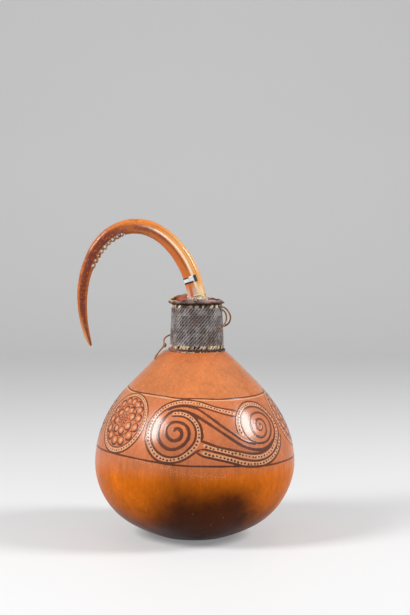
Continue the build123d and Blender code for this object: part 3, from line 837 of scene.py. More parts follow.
def rosette(way_round):
    """A dotted rim, fourteen scales, eight petals and a flower, round a place of the chart. A scale is
    a fine circle with a thick outer side and a pale middle."""
    middle = np.array([way_round, ROSETTE_HEIGHT])
    for radius, width in ((28.6, 1.6), (24.1, 1.0)):
        ribbon(burnt, ring(middle, radius, tilt=TALLER), width, BURNT_LIFT, seed=int(radius), taper=False)
    ribbon(scraped, ring(middle, DOTTED_RADIUS, tilt=TALLER), 3.2, SCRAPED_LIFT, seed=3, taper=False)
    dots(burnt, ring(middle, DOTTED_RADIUS, 2.9, TALLER)[:-1], 1.5, DOT_LIFT)
    chance = np.random.default_rng(int(abs(way_round)))
    for count, reach, radius, start in ((14, 19.3, 3.9, 0.1), (8, 10.6, 3.7, 0.25)):
        for turn in start + 2 * pi * np.arange(count) / count:
            centre = middle + reach * np.array([np.cos(turn), TALLER * np.sin(turn)])
            centre = centre + 0.25 * chance.standard_normal(2)
            size = radius * chance.uniform(0.92, 1.06)
            ribbon(burnt, ring(centre, size), THIN, BURNT_LIFT, seed=count, taper=False)
            side = turn + np.linspace(-1.5, 1.5, 14)
            arc = centre + (size - 0.5) * np.stack([np.cos(side), np.sin(side)], axis=-1)
            ribbon(burnt, arc, 1.7, 0.075, seed=count)
            dots(scraped, centre[None] - 0.4 * np.array([[np.cos(turn), np.sin(turn)]]), 3.0, 0.04, corners=12)
    ribbon(burnt, ring(middle, 15.0, tilt=TALLER), THIN, BURNT_LIFT, seed=9, taper=False)
    for turn in 2 * pi * np.arange(PETALS) / PETALS:
        out = np.array([np.cos(turn), np.sin(turn)])
        leaf = middle + np.linspace(0.8, 6.6, 9)[:, None] * out
        bulge = 1.15 * np.sin(np.linspace(0.15, pi, 9))[:, None] * np.array([-out[1], out[0]])
        for way in (-1, 1):
            ribbon(burnt, leaf + way * bulge, THIN, 0.08, seed=4)


for shift in (0.0, HALF_TURN):
    panel(shift)
for way_round in ROSETTES:
    rosette(way_round)

TOP_LINE = [
    (-112, 79.0), (-91, 76.7), (-57, 75.5), (-34, 73.6), (-14.5, 71.6), (4, 71.4), (25.5, 70.0), (53, 69.9),
    (63, 69.9), (88, 70.6), (112, 71.5), (160, 74.0), (210, 75.8), (260, 74.4), (310, 75.2), (350, 77.6),
    (390.65, 79.0),
]
LOW_LINE = [
    (-112, 14.9), (-81, 14.5), (-44.5, 13.0), (-24, 11.0), (-10, 9.8), (8, 9.2), (25, 8.6), (44, 7.6), (60, 6.4),
    (82, 6.4), (112, 6.1), (160, 7.4), (210, 9.0), (260, 8.0), (310, 7.2), (350, 10.4), (390.65, 14.9),
]
ribbon(burnt, traced(TOP_LINE, LINE_STEP), 1.8, 0.06, seed=21, taper=False)
ribbon(burnt, traced(LOW_LINE, LINE_STEP), 1.6, 0.06, seed=22, taper=False)
ribbon(scraped, traced(np.array(TOP_LINE) - (0, 1.9), LINE_STEP), 1.5, 0.035, seed=23, taper=False)
SCRATCH = [(-46, 12.6), (-42, 11.6), (-24.5, 7.8), (-10, 4.4), (0.5, 2.4), (13, 1.1), (24, 0.9)]
chance = np.random.default_rng(77)
for drop, spacing, size, end in ((0.0, 1.9, 0.8, 60), (-1.5, 2.6, 0.6, 60), (1.7, 3.1, 0.55, 40)):
    spots = even_line(traced(SCRATCH, LINE_STEP) + (0, drop), spacing)[:end]
    dots(scraped, spots + 0.2 * chance.standard_normal(spots.shape), size, 0.03, corners=6)


def ornament_recipe(tint, share):
    """The skin's own colour with the tint laid over it, full in the middle and ragged at the edges."""
    def recipe(place, chart):
        colour, fibres, blotches = skin_colour(place)
        across = abs(parts(chart)[1] * 2 - 1)
        ragged = across + 0.5 * (noise(place, 900.0, 2.0) - 0.5)
        mask = rise(ragged, 1.12, 0.86)
        worn = rise(noise(place, 55.0, 3.0), 0.3, 0.6) * 0.1 + 0.9
        tinted = shade(blend(0.95, colour, tint), 0.7 + 0.6 * noise(place, 500.0, 3.0))
        return {
            "Base Color": blend(mask * worn * share, colour, tinted),
            "Roughness": 0.3 + 0.12 * blotches + 0.08 * mask,
            "Coat Weight": POLISH_LOW + POLISH_MORE * rise(parts(place)[2], 0.052, 0.082),
            "Bump": (fibres, 0.06 * MM),
        }
    return recipe


for sheaf, name, finish_name, tint, share in (
    (burnt, "burnt_lines", "burnt", BURNT_TINT, 0.97),
    (scraped, "scraped_strips", "scraped", SCRAPED_TINT, 0.75),
):
    finish = finish_of(finish_name, "gourd", ornament_recipe(tint, share), POLISHED)
    sheaf.piece(name, "gourd", finish, ["gourd_shell"])

# %% [markdown]
# ## The plaited collar
#
# The sleeve round the mouth is woven from split fibre in a two-over-two twill: each crossing strand
# passes over two and under two, one place further along on every row, which draws slanting ridges.
# A bump pattern would look painted on at the edge of the sleeve, so every strand is a real strip. Its
# height above the sleeve is a soft square wave of the difference of the two strand numbers, so that
# the ridges climb to the right.

# %% Collar
COLLAR_BOTTOM, COLLAR_TOP = 157.2, 196.9
COLLAR_FOOT_RADIUS, COLLAR_TOP_RADIUS = 23.15, 21.5
HOOP_HEIGHT = 3.2
STANDING, LYING = 192, 40
STRAND_RISE, STRAND_HALF = 0.5, 0.46


def collar_radius(height):
    share = (height - COLLAR_BOTTOM) / (COLLAR_TOP - COLLAR_BOTTOM)
    return COLLAR_FOOT_RADIUS + (COLLAR_TOP_RADIUS - COLLAR_FOOT_RADIUS) * share


def round_neck(angle, radius, height):
    """The place at an angle from the front and a radius from the neck's upright axis."""
    return np.stack([NECK_OFFSET + radius * np.sin(angle), -radius * np.cos(angle), height + 0 * radius], axis=-1)


def on_collar(angle, height, out):
    """The place of a point of the sleeve, at a distance out of its true surface."""
    return round_neck(angle, collar_radius(height) + out, height)


def over_under(standing, lying):
    """1 where the standing strand is over, -1 where it is under, with soft changes between."""
    return np.clip(2.2 * np.sin(pi / 2 * (standing - lying) + pi / 4), -1, 1)


PLAIT_BOTTOM, PLAIT_TOP = COLLAR_BOTTOM + 4.9, COLLAR_TOP - HOOP_HEIGHT + 0.4
CORE_BOTTOM = COLLAR_BOTTOM + HOOP_HEIGHT - 0.4
strand_pitch = (PLAIT_TOP - PLAIT_BOTTOM) / LYING
strand_section = np.array([-STRAND_HALF, 0.0, STRAND_HALF])
strand_crown = np.array([0.0, 0.12, 0.0])


def strand_out(wave, crown):
    """How far a strand stands out of the sleeve, from its wave of over and under and its section."""
    return STRAND_RISE / 2 * wave - 0.62 * STRAND_RISE + crown


def strand_wear_and_shade(height_out, middle, gain, uneven):
    """How pale a strand is: paler where it stands out, as wear, and darker where it dips under, as painted shade, and
    each one differently.
    """
    chance = uneven * rng.standard_normal((len(height_out), 1, 1))
    return np.clip(middle + gain * (height_out - 0.06) / STRAND_RISE + chance, 0, 1)


collar_weave = Sheaf()
standing = np.arange(STANDING)[:, None, None]
lying_at = np.linspace(0, LYING, 2 * LYING + 1)[None, :, None]
half, crown = strand_section[None, None], strand_crown[None, None]
jitter = 0.06 * rng.standard_normal((STANDING, 1, 1))
height_out = strand_out(over_under(standing, lying_at - 0.5), crown)
angle = 2 * pi * (standing + half + jitter + 0.05 * np.sin(lying_at + standing)) / STANDING
height = PLAIT_BOTTOM + lying_at * strand_pitch + 0 * half + 0 * standing
tone = strand_wear_and_shade(height_out, 0.95, 0.8, 0.1)
collar_weave.add(on_collar(angle, height, height_out), tone=tone + 0 * height)
lying = np.arange(LYING)[:, None, None]
standing_at = np.linspace(0, STANDING, 2 * STANDING, endpoint=False)[None, None, :]
half, crown = strand_section[None, :, None], strand_crown[None, :, None]
height_out = strand_out(-over_under(standing_at, lying), crown)
height = PLAIT_BOTTOM + (lying + 0.5 + half * 0.95 + 0.04 * np.sin(standing_at / 3 + lying)) * strand_pitch
angle = 2 * pi * standing_at / STANDING + 0 * height
tone = strand_wear_and_shade(height_out, 0.55, 0.7, 0.08)
collar_weave.add(on_collar(angle, height, height_out), round_columns=True, tone=tone + 0 * height)
# The core under the strands carries tone 0, which the plait's finish turns near black: painted shade in the gaps of
# the weave.
core_line = np.array([(collar_radius(z) - 0.9, z) for z in (CORE_BOTTOM, PLAIT_TOP)])
inner_core = np.array([(collar_radius(z) - 2.4, z) for z in (PLAIT_TOP, CORE_BOTTOM)])
core = np.concatenate([core_line, inner_core, core_line[:1]])
collar_weave.add(revolved(core, 180, NECK_OFFSET), round_columns=True, tone=0.0)


def plait_recipe(place, chart):
    tone = tone_of(place)
    wear = noise(place, 130.0, 3.0)
    grain = noise(place, 1500.0, 2.0)
    # Low tone is near black, painted shade where a strand dips under the next; high tone is the grey of wear on the
    # raised strands.
    colour = blend(rise(tone, 0.2, 0.9), srgb(12, 10, 11), srgb(142, 132, 130))
    colour = blend(rise(wear, 0.42, 0.66) * 0.7 * tone, colour, srgb(204, 194, 190))
    rusty = rise(noise(place, 70.0, 3.0), 0.52, 0.7)
    colour = blend(0.45 * rusty, colour, srgb(96, 66, 46))
    return {
        "Base Color": shade(colour, 0.75 + 0.5 * grain),
        "Roughness": 0.3 + 0.25 * wear,
        "Bump": (grain, 0.05 * MM),
    }


plait_finish = finish_of("plait", "plait", plait_recipe, MATT)
collar_weave.piece("collar_weave", "gourd", plait_finish, ["plaited_collar"])


def cane_recipe(place, chart):
    band = noise(place, 700.0, 3.0, 0.5, (1.0, 1.0, 0.2))
    return {
        "Base Color": blend(band, srgb(34, 28, 26), srgb(92, 80, 72)),
        "Roughness": 0.5 + 0.2 * band,
        "Bump": (band, 0.1 * MM),
    }


cane_finish = finish_of("cane", "cane", cane_recipe, MATT)

# %% [markdown]
# ## Whipping
#
# Pale stitches of split fibre bind each hoop to the plait. They were pulled tight one by one, so they
# lean and differ in width, and some are worn dark. Every stitch is a small grid bent over the hoop,
# with a crowned section; one array holds a whole row of them.

# %% Stitches
STITCH_ROWS, STITCH_COLUMNS = 7, 5


def stitches(name, node, count, bottom, tall, lean, wide, stand, seed):
    """A row of stitches: each starts and ends inside the hoop and bulges out over it by about stand."""
    chance = np.random.default_rng(seed)
    up = np.linspace(0, 1, STITCH_ROWS)[None, :, None]
    across = np.linspace(-1, 1, STITCH_COLUMNS)[None, None]
    number = np.arange(count)[:, None, None]
    start = number + 0.26 * chance.standard_normal((count, 1, 1))
    width = wide * chance.uniform(0.55, 1.25, (count, 1, 1))
    slant = lean + 0.28 * chance.standard_normal((count, 1, 1))
    radius = collar_radius(bottom + tall / 2)
    angle = 2 * pi * (start + slant * (up - 0.5)) / count + across * width / 2 / radius
    height = bottom + up * tall + 0 * angle
    bend = np.sin(pi * np.clip(up, 0.001, 0.999)) ** 0.45
    out = -0.75 + stand * bend * (1 - 0.5 * across**2) + chance.uniform(-0.08, 0.05, (count, 1, 1))
    sheaf = Sheaf().add(on_collar(angle, height, out), tone=chance.uniform(0, 1, count))
    return sheaf.piece(name, "gourd", whipping_finish, [node])


def whipping_recipe(place, chart):
    tone = tone_of(place)
    strand = noise(place, 1100.0, 3.0, 0.6)
    colour = blend(rise(tone, 0.05, 0.6), srgb(132, 100, 80), srgb(232, 202, 168))
    soot = rise(noise(place, 190.0, 3.0), 0.5, 0.64)
    return {
        "Base Color": shade(blend(0.5 * soot, colour, srgb(70, 56, 46)), 0.7 + 0.5 * strand),
        "Roughness": 0.6 + 0.2 * strand,
        "Bump": (strand, 0.14 * MM),
    }


whipping_finish = finish_of("whipping", "whipping", whipping_recipe, MATT)
stitches("lower_stitches", "lower_whipping", 56, COLLAR_BOTTOM + 1.7, 4.1, 0.8, 2.55, 1.1, 11)
stitches("upper_stitches", "upper_whipping", 32, COLLAR_TOP - HOOP_HEIGHT - 0.15, 3.5, 0.4, 2.9, 0.72, 12)
refinish("lower_hoop", cane_finish)
refinish("upper_hoop", cane_finish)

# %% [markdown]
# ## The mouth liner and its lip
#
# Inside the collar sits a dried sheath whose rim curls out over the top of the plait. It shrank as it
# dried, so the rim isn't round or level: it is highest behind the tusk on the left, and droops over
# the stitches in front. The profile is carried round, and its top rows are moved to the rim's height
# and reach, which are given at stations round the mouth, with small folds between them.

# %% Liner
LINER_WALL = 1.8
LIP_RADIUS = 23.8


def liner_radius(height):
    return collar_radius(height) - 2.4 - 0.15


LIP_UNDER = COLLAR_TOP + 0.15
RIM_TOP, RIM_RADIUS = 201.9, 21.9
RIM_STATIONS = [
    (0, 201.4, 23.1), (22, 201.6, 22.8), (40, 200.9, 23.4), (62, 200.4, 23.5), (90, 199.9, 23.2), (103, 200.2, 22.4),
    (125, 200.9, 22.0), (146, 201.3, 22.0), (160, 202.2, 22.2), (180, 203.8, 22.6), (203, 204.4, 22.9),
    (219, 204.1, 23.2), (240, 203.0, 23.0), (257, 201.9, 23.3), (270, 200.8, 24.3), (285, 200.2, 24.0),
    (306, 200.2, 23.7), (334, 201.2, 23.4), (346, 201.7, 23.1), (360, 201.4, 23.1),
]
liner_line = np.concatenate([
    [(liner_radius(z), z) for z in np.linspace(COLLAR_BOTTOM - 7, LIP_UNDER, 20)],
    smooth_line([(liner_radius(LIP_UNDER) + 0.5, LIP_UNDER), (22.9, LIP_UNDER + 0.5), (LIP_RADIUS, LIP_UNDER + 1.9),
                 (LIP_RADIUS - 0.9, LIP_UNDER + 3.6), (RIM_RADIUS + 0.5, RIM_TOP - 0.15)], (1, 0.05), (-0.7, 1), 26),
    smooth_line([(RIM_RADIUS, RIM_TOP), (RIM_RADIUS - 0.55, RIM_TOP - 0.3), (RIM_RADIUS - 1.2, RIM_TOP - 2.0),
                 (liner_radius(LIP_UNDER) - LINER_WALL, LIP_UNDER - 2.2)], (-1, 0.0), (-0.1, -1), 26),
    [(liner_radius(z) - LINER_WALL, z) for z in np.linspace(LIP_UNDER - 3, COLLAR_BOTTOM - 7, 20)],
])
liner_line = np.concatenate([liner_line, liner_line[:1]])
LINER_COLUMNS = 240
liner_points = revolved(liner_line, LINER_COLUMNS, NECK_OFFSET)
liner_angle = np.linspace(0, 2 * pi, LINER_COLUMNS, endpoint=False)[None]
rim_way = np.degrees(liner_angle)
rim_height = np.interp(rim_way, *np.array(RIM_STATIONS).T[:2])
rim_reach = np.interp(rim_way, *np.array(RIM_STATIONS).T[::2])
rim_height = rim_height + 0.22 * np.sin(11 * liner_angle) + 0.16 * np.sin(19 * liner_angle + 1.1)
rim_reach = rim_reach + 0.22 * np.sin(7 * liner_angle + 1) + 0.14 * np.sin(16 * liner_angle)
lip_share = np.clip((liner_line[:, 1:] - LIP_UNDER) / (RIM_TOP - LIP_UNDER), 0, 1) * (liner_line[:, :1] > 17)
lip_fold = 0.35 * np.sin(9 * liner_angle + 3 * lip_share) * np.sin(pi * lip_share)
liner_points[..., 2] += lip_share * (rim_height - RIM_TOP)
outward = np.stack([np.sin(liner_angle), -np.cos(liner_angle)], axis=-1)
liner_points[..., :2] += (np.sqrt(lip_share) * (rim_reach - LIP_RADIUS) + lip_fold)[..., None] * outward
rim_tone = np.exp(-((liner_line[:, 1:] - RIM_TOP) / 0.9) ** 2) * (liner_line[:, :1] > 17) + 0 * liner_angle
liner_sheaf = Sheaf().add(liner_points, round_columns=True, tone=rim_tone)


def liner_recipe(place, chart):
    x, y, z = parts(place)
    along, around = parts(chart)[0], parts(chart)[1]
    cloud = noise(place, 130.0, 4.0, 0.65)
    rim = tone_of(place)
    inside = rise(along, 0.50, 0.58)
    red = blend(cloud, srgb(136, 50, 24), srgb(216, 110, 66))
    grey = blend(rise(cloud, 0.35, 0.65), srgb(58, 36, 30), srgb(126, 104, 98))
    left = rise(x, 0.006, -0.006)
    colour = blend(inside * (0.3 + 0.7 * left), grey, red)
    rose = rise(x, 0.006, 0.012) * rise(z, 0.1992, 0.2002)
    colour = blend(0.7 * rose, colour, blend(cloud, srgb(132, 84, 82), srgb(208, 172, 166)))
    cream = rise(x, -0.012, -0.018) * rim
    colour = blend(0.85 * cream, colour, srgb(230, 196, 150))
    crust = rise(noise(place, 420.0, 4.0, 0.7), 0.52, 0.62) * rise(z, 0.1998, 0.2012)
    crust = crust * (1 - inside) * rise(abs(x - 0.005), 0.014, 0.008)
    colour = blend(0.7 * crust, colour, srgb(216, 200, 182))
    # Painted shadow: below the lip the liner is made near black, where the overhang shades it.
    under = rise(z, 0.1990, 0.1974)
    return {
        "Base Color": shade(blend(0.85 * under, colour, srgb(26, 18, 16)), 0.8 + 0.4 * noise(place, 700.0, 3.0)),
        "Roughness": 0.42 + 0.3 * cloud,
        "Bump": (0.6 * noise(place, 320.0, 4.0) + 0.6 * crust, 0.45 * MM),
    }


liner_sheaf.piece("mouth_lip", "gourd", finish_of("liner", "liner", liner_recipe, MATT), ["mouth_liner"])

# %% [markdown]
# ## Putty and lime
#
# A bead of dark putty closes the joint between shoulder and collar. Lime powder spilt from the mouth
# has caught in it and on the skin below as white crumbs. The bead is a lumpy ring; the crumbs are
# small closed lumps of a few dozen faces, thrown with a seeded random draw.

# %% Putty bead
BEAD_COLUMNS, BEAD_ROWS = 220, 14
bead_angle = np.linspace(0, 2 * pi, BEAD_COLUMNS, endpoint=False)[None]
bead_turn = np.linspace(0, 2 * pi, BEAD_ROWS, endpoint=False)[::-1, None]
lump = 1 + 0.12 * np.sin(13 * bead_angle + 2 * np.sin(3 * bead_angle)) + 0.1 * np.sin(29 * bead_angle + bead_turn)
bead_radius = 1.55 * lump
ring_x = COLLAR_FOOT_RADIUS - 0.35 + bead_radius * np.cos(bead_turn)
bead_z = COLLAR_BOTTOM + 0.45 - 0.5 * np.sin(bead_angle) + bead_radius * np.sin(bead_turn)
bead_points = round_neck(bead_angle, ring_x, bead_z)
bead = Sheaf().add(bead_points, round_rows=True, round_columns=True, flip=True)


def crumbs(sheaf, middles, size, seed):
    """Small lumps: a coarse ball of points, each pushed in or out."""
    chance = np.random.default_rng(seed)
    count = len(middles)
    ring_angle = np.linspace(0, 2 * pi, 6, endpoint=False)[None, None]
    rise_angle = np.linspace(-pi / 2, pi / 2, 5)[None, :, None]
    push = chance.uniform(0.7, 1.3, (count, 5, 6)) * size * chance.uniform(0.5, 1.3, (count, 1, 1))
    push[:, 0], push[:, -1] = push[:, 0, :1], push[:, -1, :1]
    flat, tall = np.cos(rise_angle), np.sin(rise_angle)
    ball = np.stack([flat * np.cos(ring_angle), flat * np.sin(ring_angle), tall + 0 * ring_angle], axis=-1)
    sheaf.add(middles[:, None, None] + push[..., None] * ball, round_columns=True, tone=chance.uniform(0, 1, count))


def putty_recipe(place, chart):
    x, y, z = parts(place)
    cloud = noise(place, 260.0, 4.0)
    colour = blend(cloud, srgb(26, 18, 16), srgb(84, 60, 48))
    clay = rise(x + 0.006 * cloud, -0.004, -0.016)
    return {
        "Base Color": blend(0.8 * clay, colour, blend(cloud, srgb(112, 70, 58), srgb(176, 124, 108))),
        "Roughness": 0.65 + 0.25 * cloud,
        "Bump": (noise(place, 700.0, 4.0), 0.3 * MM),
    }


def lime_recipe(place, chart):
    tone = tone_of(place)
    cloud = noise(place, 1500.0, 3.0)
    return {
        "Base Color": shade(blend(tone, srgb(206, 186, 156), srgb(240, 234, 222)), 0.8 + 0.3 * cloud),
        "Roughness": 0.85 + 0.1 * cloud,
        "Bump": (cloud, 0.2 * MM),
    }


bead.piece("putty_bead", "gourd", finish_of("putty", "putty", putty_recipe, MATT), ["putty_seal"])
lime_finish = finish_of("lime", "putty", lime_recipe)
chance = np.random.default_rng(31)
EVEN_CRUMBS, FRONT_CRUMBS = 130, 60
crumb_angle = np.concatenate([chance.uniform(-pi, pi, EVEN_CRUMBS), chance.normal(-0.2, 0.3, FRONT_CRUMBS)])
crumb_drop = np.abs(chance.normal(0, 1.0, len(crumb_angle)))
crumb_radius = COLLAR_FOOT_RADIUS + 1.15 + crumb_drop * 0.9
crumb_z = COLLAR_BOTTOM + 0.55 - crumb_drop * 0.72 - 0.35 * np.sin(crumb_angle)
lime = Sheaf()
crumbs(lime, round_neck(crumb_angle, crumb_radius, crumb_z), 0.26, 32)
lime.piece("lime_crumbs", "gourd", lime_finish, ["putty_seal"])

# %% [markdown]
# ## The tusk
#
# A boar's tusk that never wore against its partner grows on in a ring. This one sweeps up out of the
# mouth, over and down again to a point. Its section is a rounded triangle with the flat worn face
# towards the viewer. The surface is that section carried along an ellipse while its width falls, so
# the two parameters are the share of the length and the place round the section.

# %% Tusk surface
ARCH_CENTRE = np.array([-45.7, 191.9])
ARCH_HALF = np.array([49.2, 71.25])
ARCH_TILT = radians(7.2)
ROOT_ANGLE, TIP_ANGLE = radians(-17.0), radians(201.0)
TUSK_ROOT_WIDTH = 16.2
TUSK_TAPER = 0.365
LACE_START, LACE_END, LACE_HOLES = 0.528, 0.698, 9
LACE_INSET = 1.3
RECESS = 2.7

sweep_angle = np.linspace(ROOT_ANGLE, TIP_ANGLE, 4000)
sweep_x = ARCH_HALF[0] * np.cos(sweep_angle)
sweep_z = ARCH_HALF[1] * np.sin(sweep_angle)
spine = np.stack([
    ARCH_CENTRE[0] + sweep_x * np.cos(ARCH_TILT) - sweep_z * np.sin(ARCH_TILT),
    ARCH_CENTRE[1] + sweep_x * np.sin(ARCH_TILT) + sweep_z * np.cos(ARCH_TILT),
], axis=-1)
spine_run = np.gradient(spine, axis=0)
spine_run /= np.linalg.norm(spine_run, axis=1, keepdims=True)
spine_reach = np.concatenate([[0], np.cumsum(np.linalg.norm(np.diff(spine, axis=0), axis=1))])
spine_share = spine_reach / spine_reach[-1]


def tusk_width(share):
    return TUSK_ROOT_WIDTH * np.maximum(1 - share, 1e-5) ** TUSK_TAPER


def tusk_place(share, out, back):
    """A point at a share of the length, out from the arch's middle line and back from the viewer."""
    x, z = (np.interp(share, spine_share, spine[:, axis]) for axis in (0, 1))
    run_x, run_z = (np.interp(share, spine_share, spine_run[:, axis]) for axis in (0, 1))
    return np.stack(np.broadcast_arrays(x + out * run_z, back, z - out * run_x), axis=-1)


def pick(line, reach, where):
    """The points of a line at the given reaches along it."""
    return np.stack([np.interp(where, reach, line[:, axis]) for axis in range(line.shape[1])], axis=-1)


def rounded_triangle(columns):
    """Evenly spaced points of a triangle with rounded corners, its flat side to the front. It is half
    as wide as 1: three arcs about the corners of a small triangle, and the straight runs between."""
    corner = radians(90) + 2 * pi * np.arange(3) / 3
    arc = np.linspace(-pi / 3, pi / 3, 60)
    x = 0.2 * np.cos(corner)[:, None] + 0.4 * np.cos(corner[:, None] + arc)
    y = 0.2 * np.sin(corner)[:, None] + 0.4 * np.sin(corner[:, None] + arc)
    line = np.stack([x.ravel(), y.ravel()], axis=-1) / 0.5732
    line = np.concatenate([line, line[:1]])
    outer = int(np.argmax(line[:, 0]))
    line = np.concatenate([line[outer:-1], line[: outer + 1]])
    reach = np.concatenate([[0], np.cumsum(np.linalg.norm(np.diff(line, axis=0), axis=1))])
    return pick(line, reach, np.linspace(0, reach[-1], columns, endpoint=False))


def tusk_skin(share, section, lift=0.0):
    """The surface with its natural detail: slow waves along it, shallow flutes near the root, and the
    inner edge cut back where the lace stands."""
    half_width = tusk_width(share) / 2
    round_x, round_y = section[..., 0], section[..., 1]
    root = ramp(share, 0.16, -0.16)
    turn = np.arctan2(round_y, round_x)
    flutes = -0.22 * root * (0.5 + 0.5 * np.cos(9 * turn + 6 * share)) - 0.10 * root * np.cos(17 * turn)
    waves = 0.10 * np.sin(34 * share + turn) + 0.06 * np.sin(81 * share + 2 * turn)
    size = half_width + flutes + waves * np.clip(half_width / 4, 0, 1) + lift
    out, back = size * round_x, size * round_y
    ridge = np.exp(-((round_x - 0.08) / 0.24) ** 2) * ramp(share, 0.5, -0.14) * half_width * 0.12
    groove = np.exp(-((round_x + 0.34) / 0.1) ** 2) * ramp(share, 0.2, 0.1) * ramp(share, 0.5, -0.1)
    back = back + (0.35 * groove - ridge) * (round_y < 0)
    window = ramp(share, LACE_START - 0.018, 0.012) * ramp(share, LACE_END + 0.018, -0.012)
    edge = -half_width + RECESS * window
    out = np.where(out < edge, edge + 0.12 * (out - edge), out)
    return tusk_place(share, out, back)


TUSK_COLUMNS, TUSK_ROWS, HOLLOW_ROWS = 96, 330, 18
HOLLOW_RADIUS, HOLLOW_DEPTH, HOLLOW_TAPER = 5.0, 30, radians(8)
section = rounded_triangle(TUSK_COLUMNS)
shares = 1 - (1 - np.linspace(0, 1, TUSK_ROWS)) ** 1.25
tusk_points = tusk_skin(shares[:, None], section[None])
hollow_line = shares[:HOLLOW_ROWS][::-1]
hollow_radius = HOLLOW_RADIUS - HOLLOW_DEPTH * np.tan(HOLLOW_TAPER) * hollow_line / hollow_line[0]
hollow_turn = np.linspace(0, 2 * pi, TUSK_COLUMNS, endpoint=False)[None]
hollow_out, hollow_back = (hollow_radius[:, None] * wave(hollow_turn) for wave in (np.cos, np.sin))
hollow_points = tusk_place(hollow_line[:, None], hollow_out, hollow_back)
hollow_end = tusk_place(hollow_line[:1, None], 0 * hollow_turn, 0 * hollow_turn)
tusk_points = np.concatenate([hollow_end, hollow_points, tusk_points])
tusk_chart = np.concatenate([-hollow_line[:1], -hollow_line, shares])
tusk_tone = np.broadcast_to(section[:, 0], (TUSK_ROWS, TUSK_COLUMNS))
tusk_tone = np.concatenate([np.zeros((HOLLOW_ROWS + 1, TUSK_COLUMNS)), tusk_tone])
tusk_chart = (tusk_chart, np.linspace(0, 1, TUSK_COLUMNS + 1))
tusk_sheaf = Sheaf().add(tusk_points, round_columns=True, chart=tusk_chart, tone=tusk_tone)

# %% [markdown]
# ## Ivory
#
# The tusk's colour runs along it and across it: honey on the outer curve, a purple-brown worn face
# with long streaks, a lighter strip along the inner edge, a creamy root where it was held in the
# mouth, and a darker point. The share of the length and the place across are read from the piece's
# own chart and tone, so the bands follow the curve.

# %% Tusk finish
def tusk_recipe(place, chart):
    share, around = parts(chart)[:2]
    across = tone_of(place)
    lengthways = place.node("ShaderNodeCombineXYZ", None, {0: share * 9, 1: around * 24, 2: 0.0})
    streaks = noise(lengthways, 2.2, 5.0, 0.6)
    fine = noise(lengthways, 9.0, 3.0, 0.6)
    cloud = noise(place, 90.0, 4.0, 0.6)
    front = rise(around, 0.52, 0.6) * rise(around, 0.98, 0.9)
    limb = rise(share, 0.44, 0.26)
    left = rise(share, 0.46, 0.60)
    drift = 0.5 * (streaks - 0.5)
    colour = blend(streaks, srgb(188, 84, 22), srgb(238, 150, 70))
    colour = blend(0.7 * limb * rise(across, 0.0, 0.5), colour, srgb(238, 182, 110))
    plum = blend(fine, srgb(104, 46, 40), srgb(168, 94, 80))
    worn = front * rise(across + drift, 0.36, 0.16) * rise(across + drift, -0.62, -0.40)
    worn = worn * rise(share, 0.28, 0.40) * (0.5 + 0.5 * rise(cloud, 0.36, 0.56))
    colour = blend(0.9 * worn, colour, plum)
    dusk = blend(cloud, srgb(92, 34, 22), srgb(134, 58, 34))
    core = rise(across + drift, 0.62, 0.36) * rise(across + drift, -0.72, -0.5)
    colour = blend(left * (0.42 + 0.46 * core), colour, dusk)
    inner = front * rise(across + 0.4 * drift, -0.40, -0.62) * limb
    colour = blend(0.6 * inner, colour, srgb(206, 96, 34))
    shadow = front * rise(abs(across + 0.20 + 0.2 * drift), 0.16, 0.04)
    shadow = shadow * rise(share, 0.18, 0.24) * rise(share, 0.44, 0.36)
    colour = blend(0.75 * shadow, colour, srgb(134, 60, 34))
    line = rise(abs(across - 0.64 - 0.1 * drift), 0.045, 0.015)
    line = line * rise(share, 0.44, 0.36) * rise(share, 0.17, 0.2)
    colour = blend(0.7 * line, colour, srgb(112, 48, 14))
    # Painted highlight: a near-white streak along the ridge of the right limb, where the right lamp glints.
    ridge = front * rise(abs(across - 0.14 + 0.1 * drift), 0.22, 0.03) * rise(share, 0.47, 0.38)
    colour = blend(0.92 * ridge, colour, srgb(255, 232, 200))
    flecks = rise(noise(place, 520.0, 3.0, 0.6), 0.55, 0.64) * rise(share, 0.3, 0.4)
    colour = blend(0.45 * flecks, colour, srgb(226, 132, 70))
    bruise = rise(noise(place, 150.0, 4.0, 0.65), 0.52, 0.64) * front
    bruise = bruise * rise(share, 0.36, 0.46) * rise(share, 0.9, 0.8)
    colour = blend(0.5 * bruise, colour, srgb(88, 50, 62))
    point = rise(share, 0.86, 0.99)
    colour = blend(0.8 * point * rise(across, -0.3, 0.4), colour, srgb(228, 164, 104))
    root = rise(share + 0.04 * (streaks - 0.5), 0.165, 0.125)
    bone = blend(streaks, srgb(206, 160, 140), srgb(232, 204, 186))
    bone = blend(rise(across + 0.3 * (streaks - 0.5), 0.0, 0.35), bone, srgb(244, 222, 172))
    bone = blend(rise(abs(across + 0.52), 0.22, 0.08), bone, srgb(206, 112, 62))
    bone = blend(rise(across, 0.72, 0.9), bone, srgb(226, 168, 112))
    colour = blend(0.9 * root, colour, bone)
    dirt = rise(noise(place, 330.0, 4.0, 0.6), 0.6, 0.72)
    colour = shade(colour, 0.9 + 0.25 * fine - 0.35 * dirt * (0.4 + 0.6 * root))
    return {
        "Base Color": colour,
        "Roughness": 0.2 + 0.14 * cloud + 0.25 * root,
        "Bump": (0.5 * streaks + 0.3 * fine + 0.3 * cloud, 0.1 * MM),
    }


IVORY = {"Coat Weight": 0.25, "Coat Roughness": 0.12, "Specular IOR Level": 0.15}
tusk_finish = finish_of("tusk", "tusk", tusk_recipe, IVORY)
tusk_sheaf.piece("tusk_body", "tusk", tusk_finish, ["tusk_stopper"])

# %% [markdown]
# ## The lace edge
#
# Along the inside of the arch the edge is pierced: a row of small rings, each a little different,
# with a worn knob between each pair. Rings and knobs are separate closed forms that grow out of the
# recessed edge, pale where the skin of the tusk is cut through.

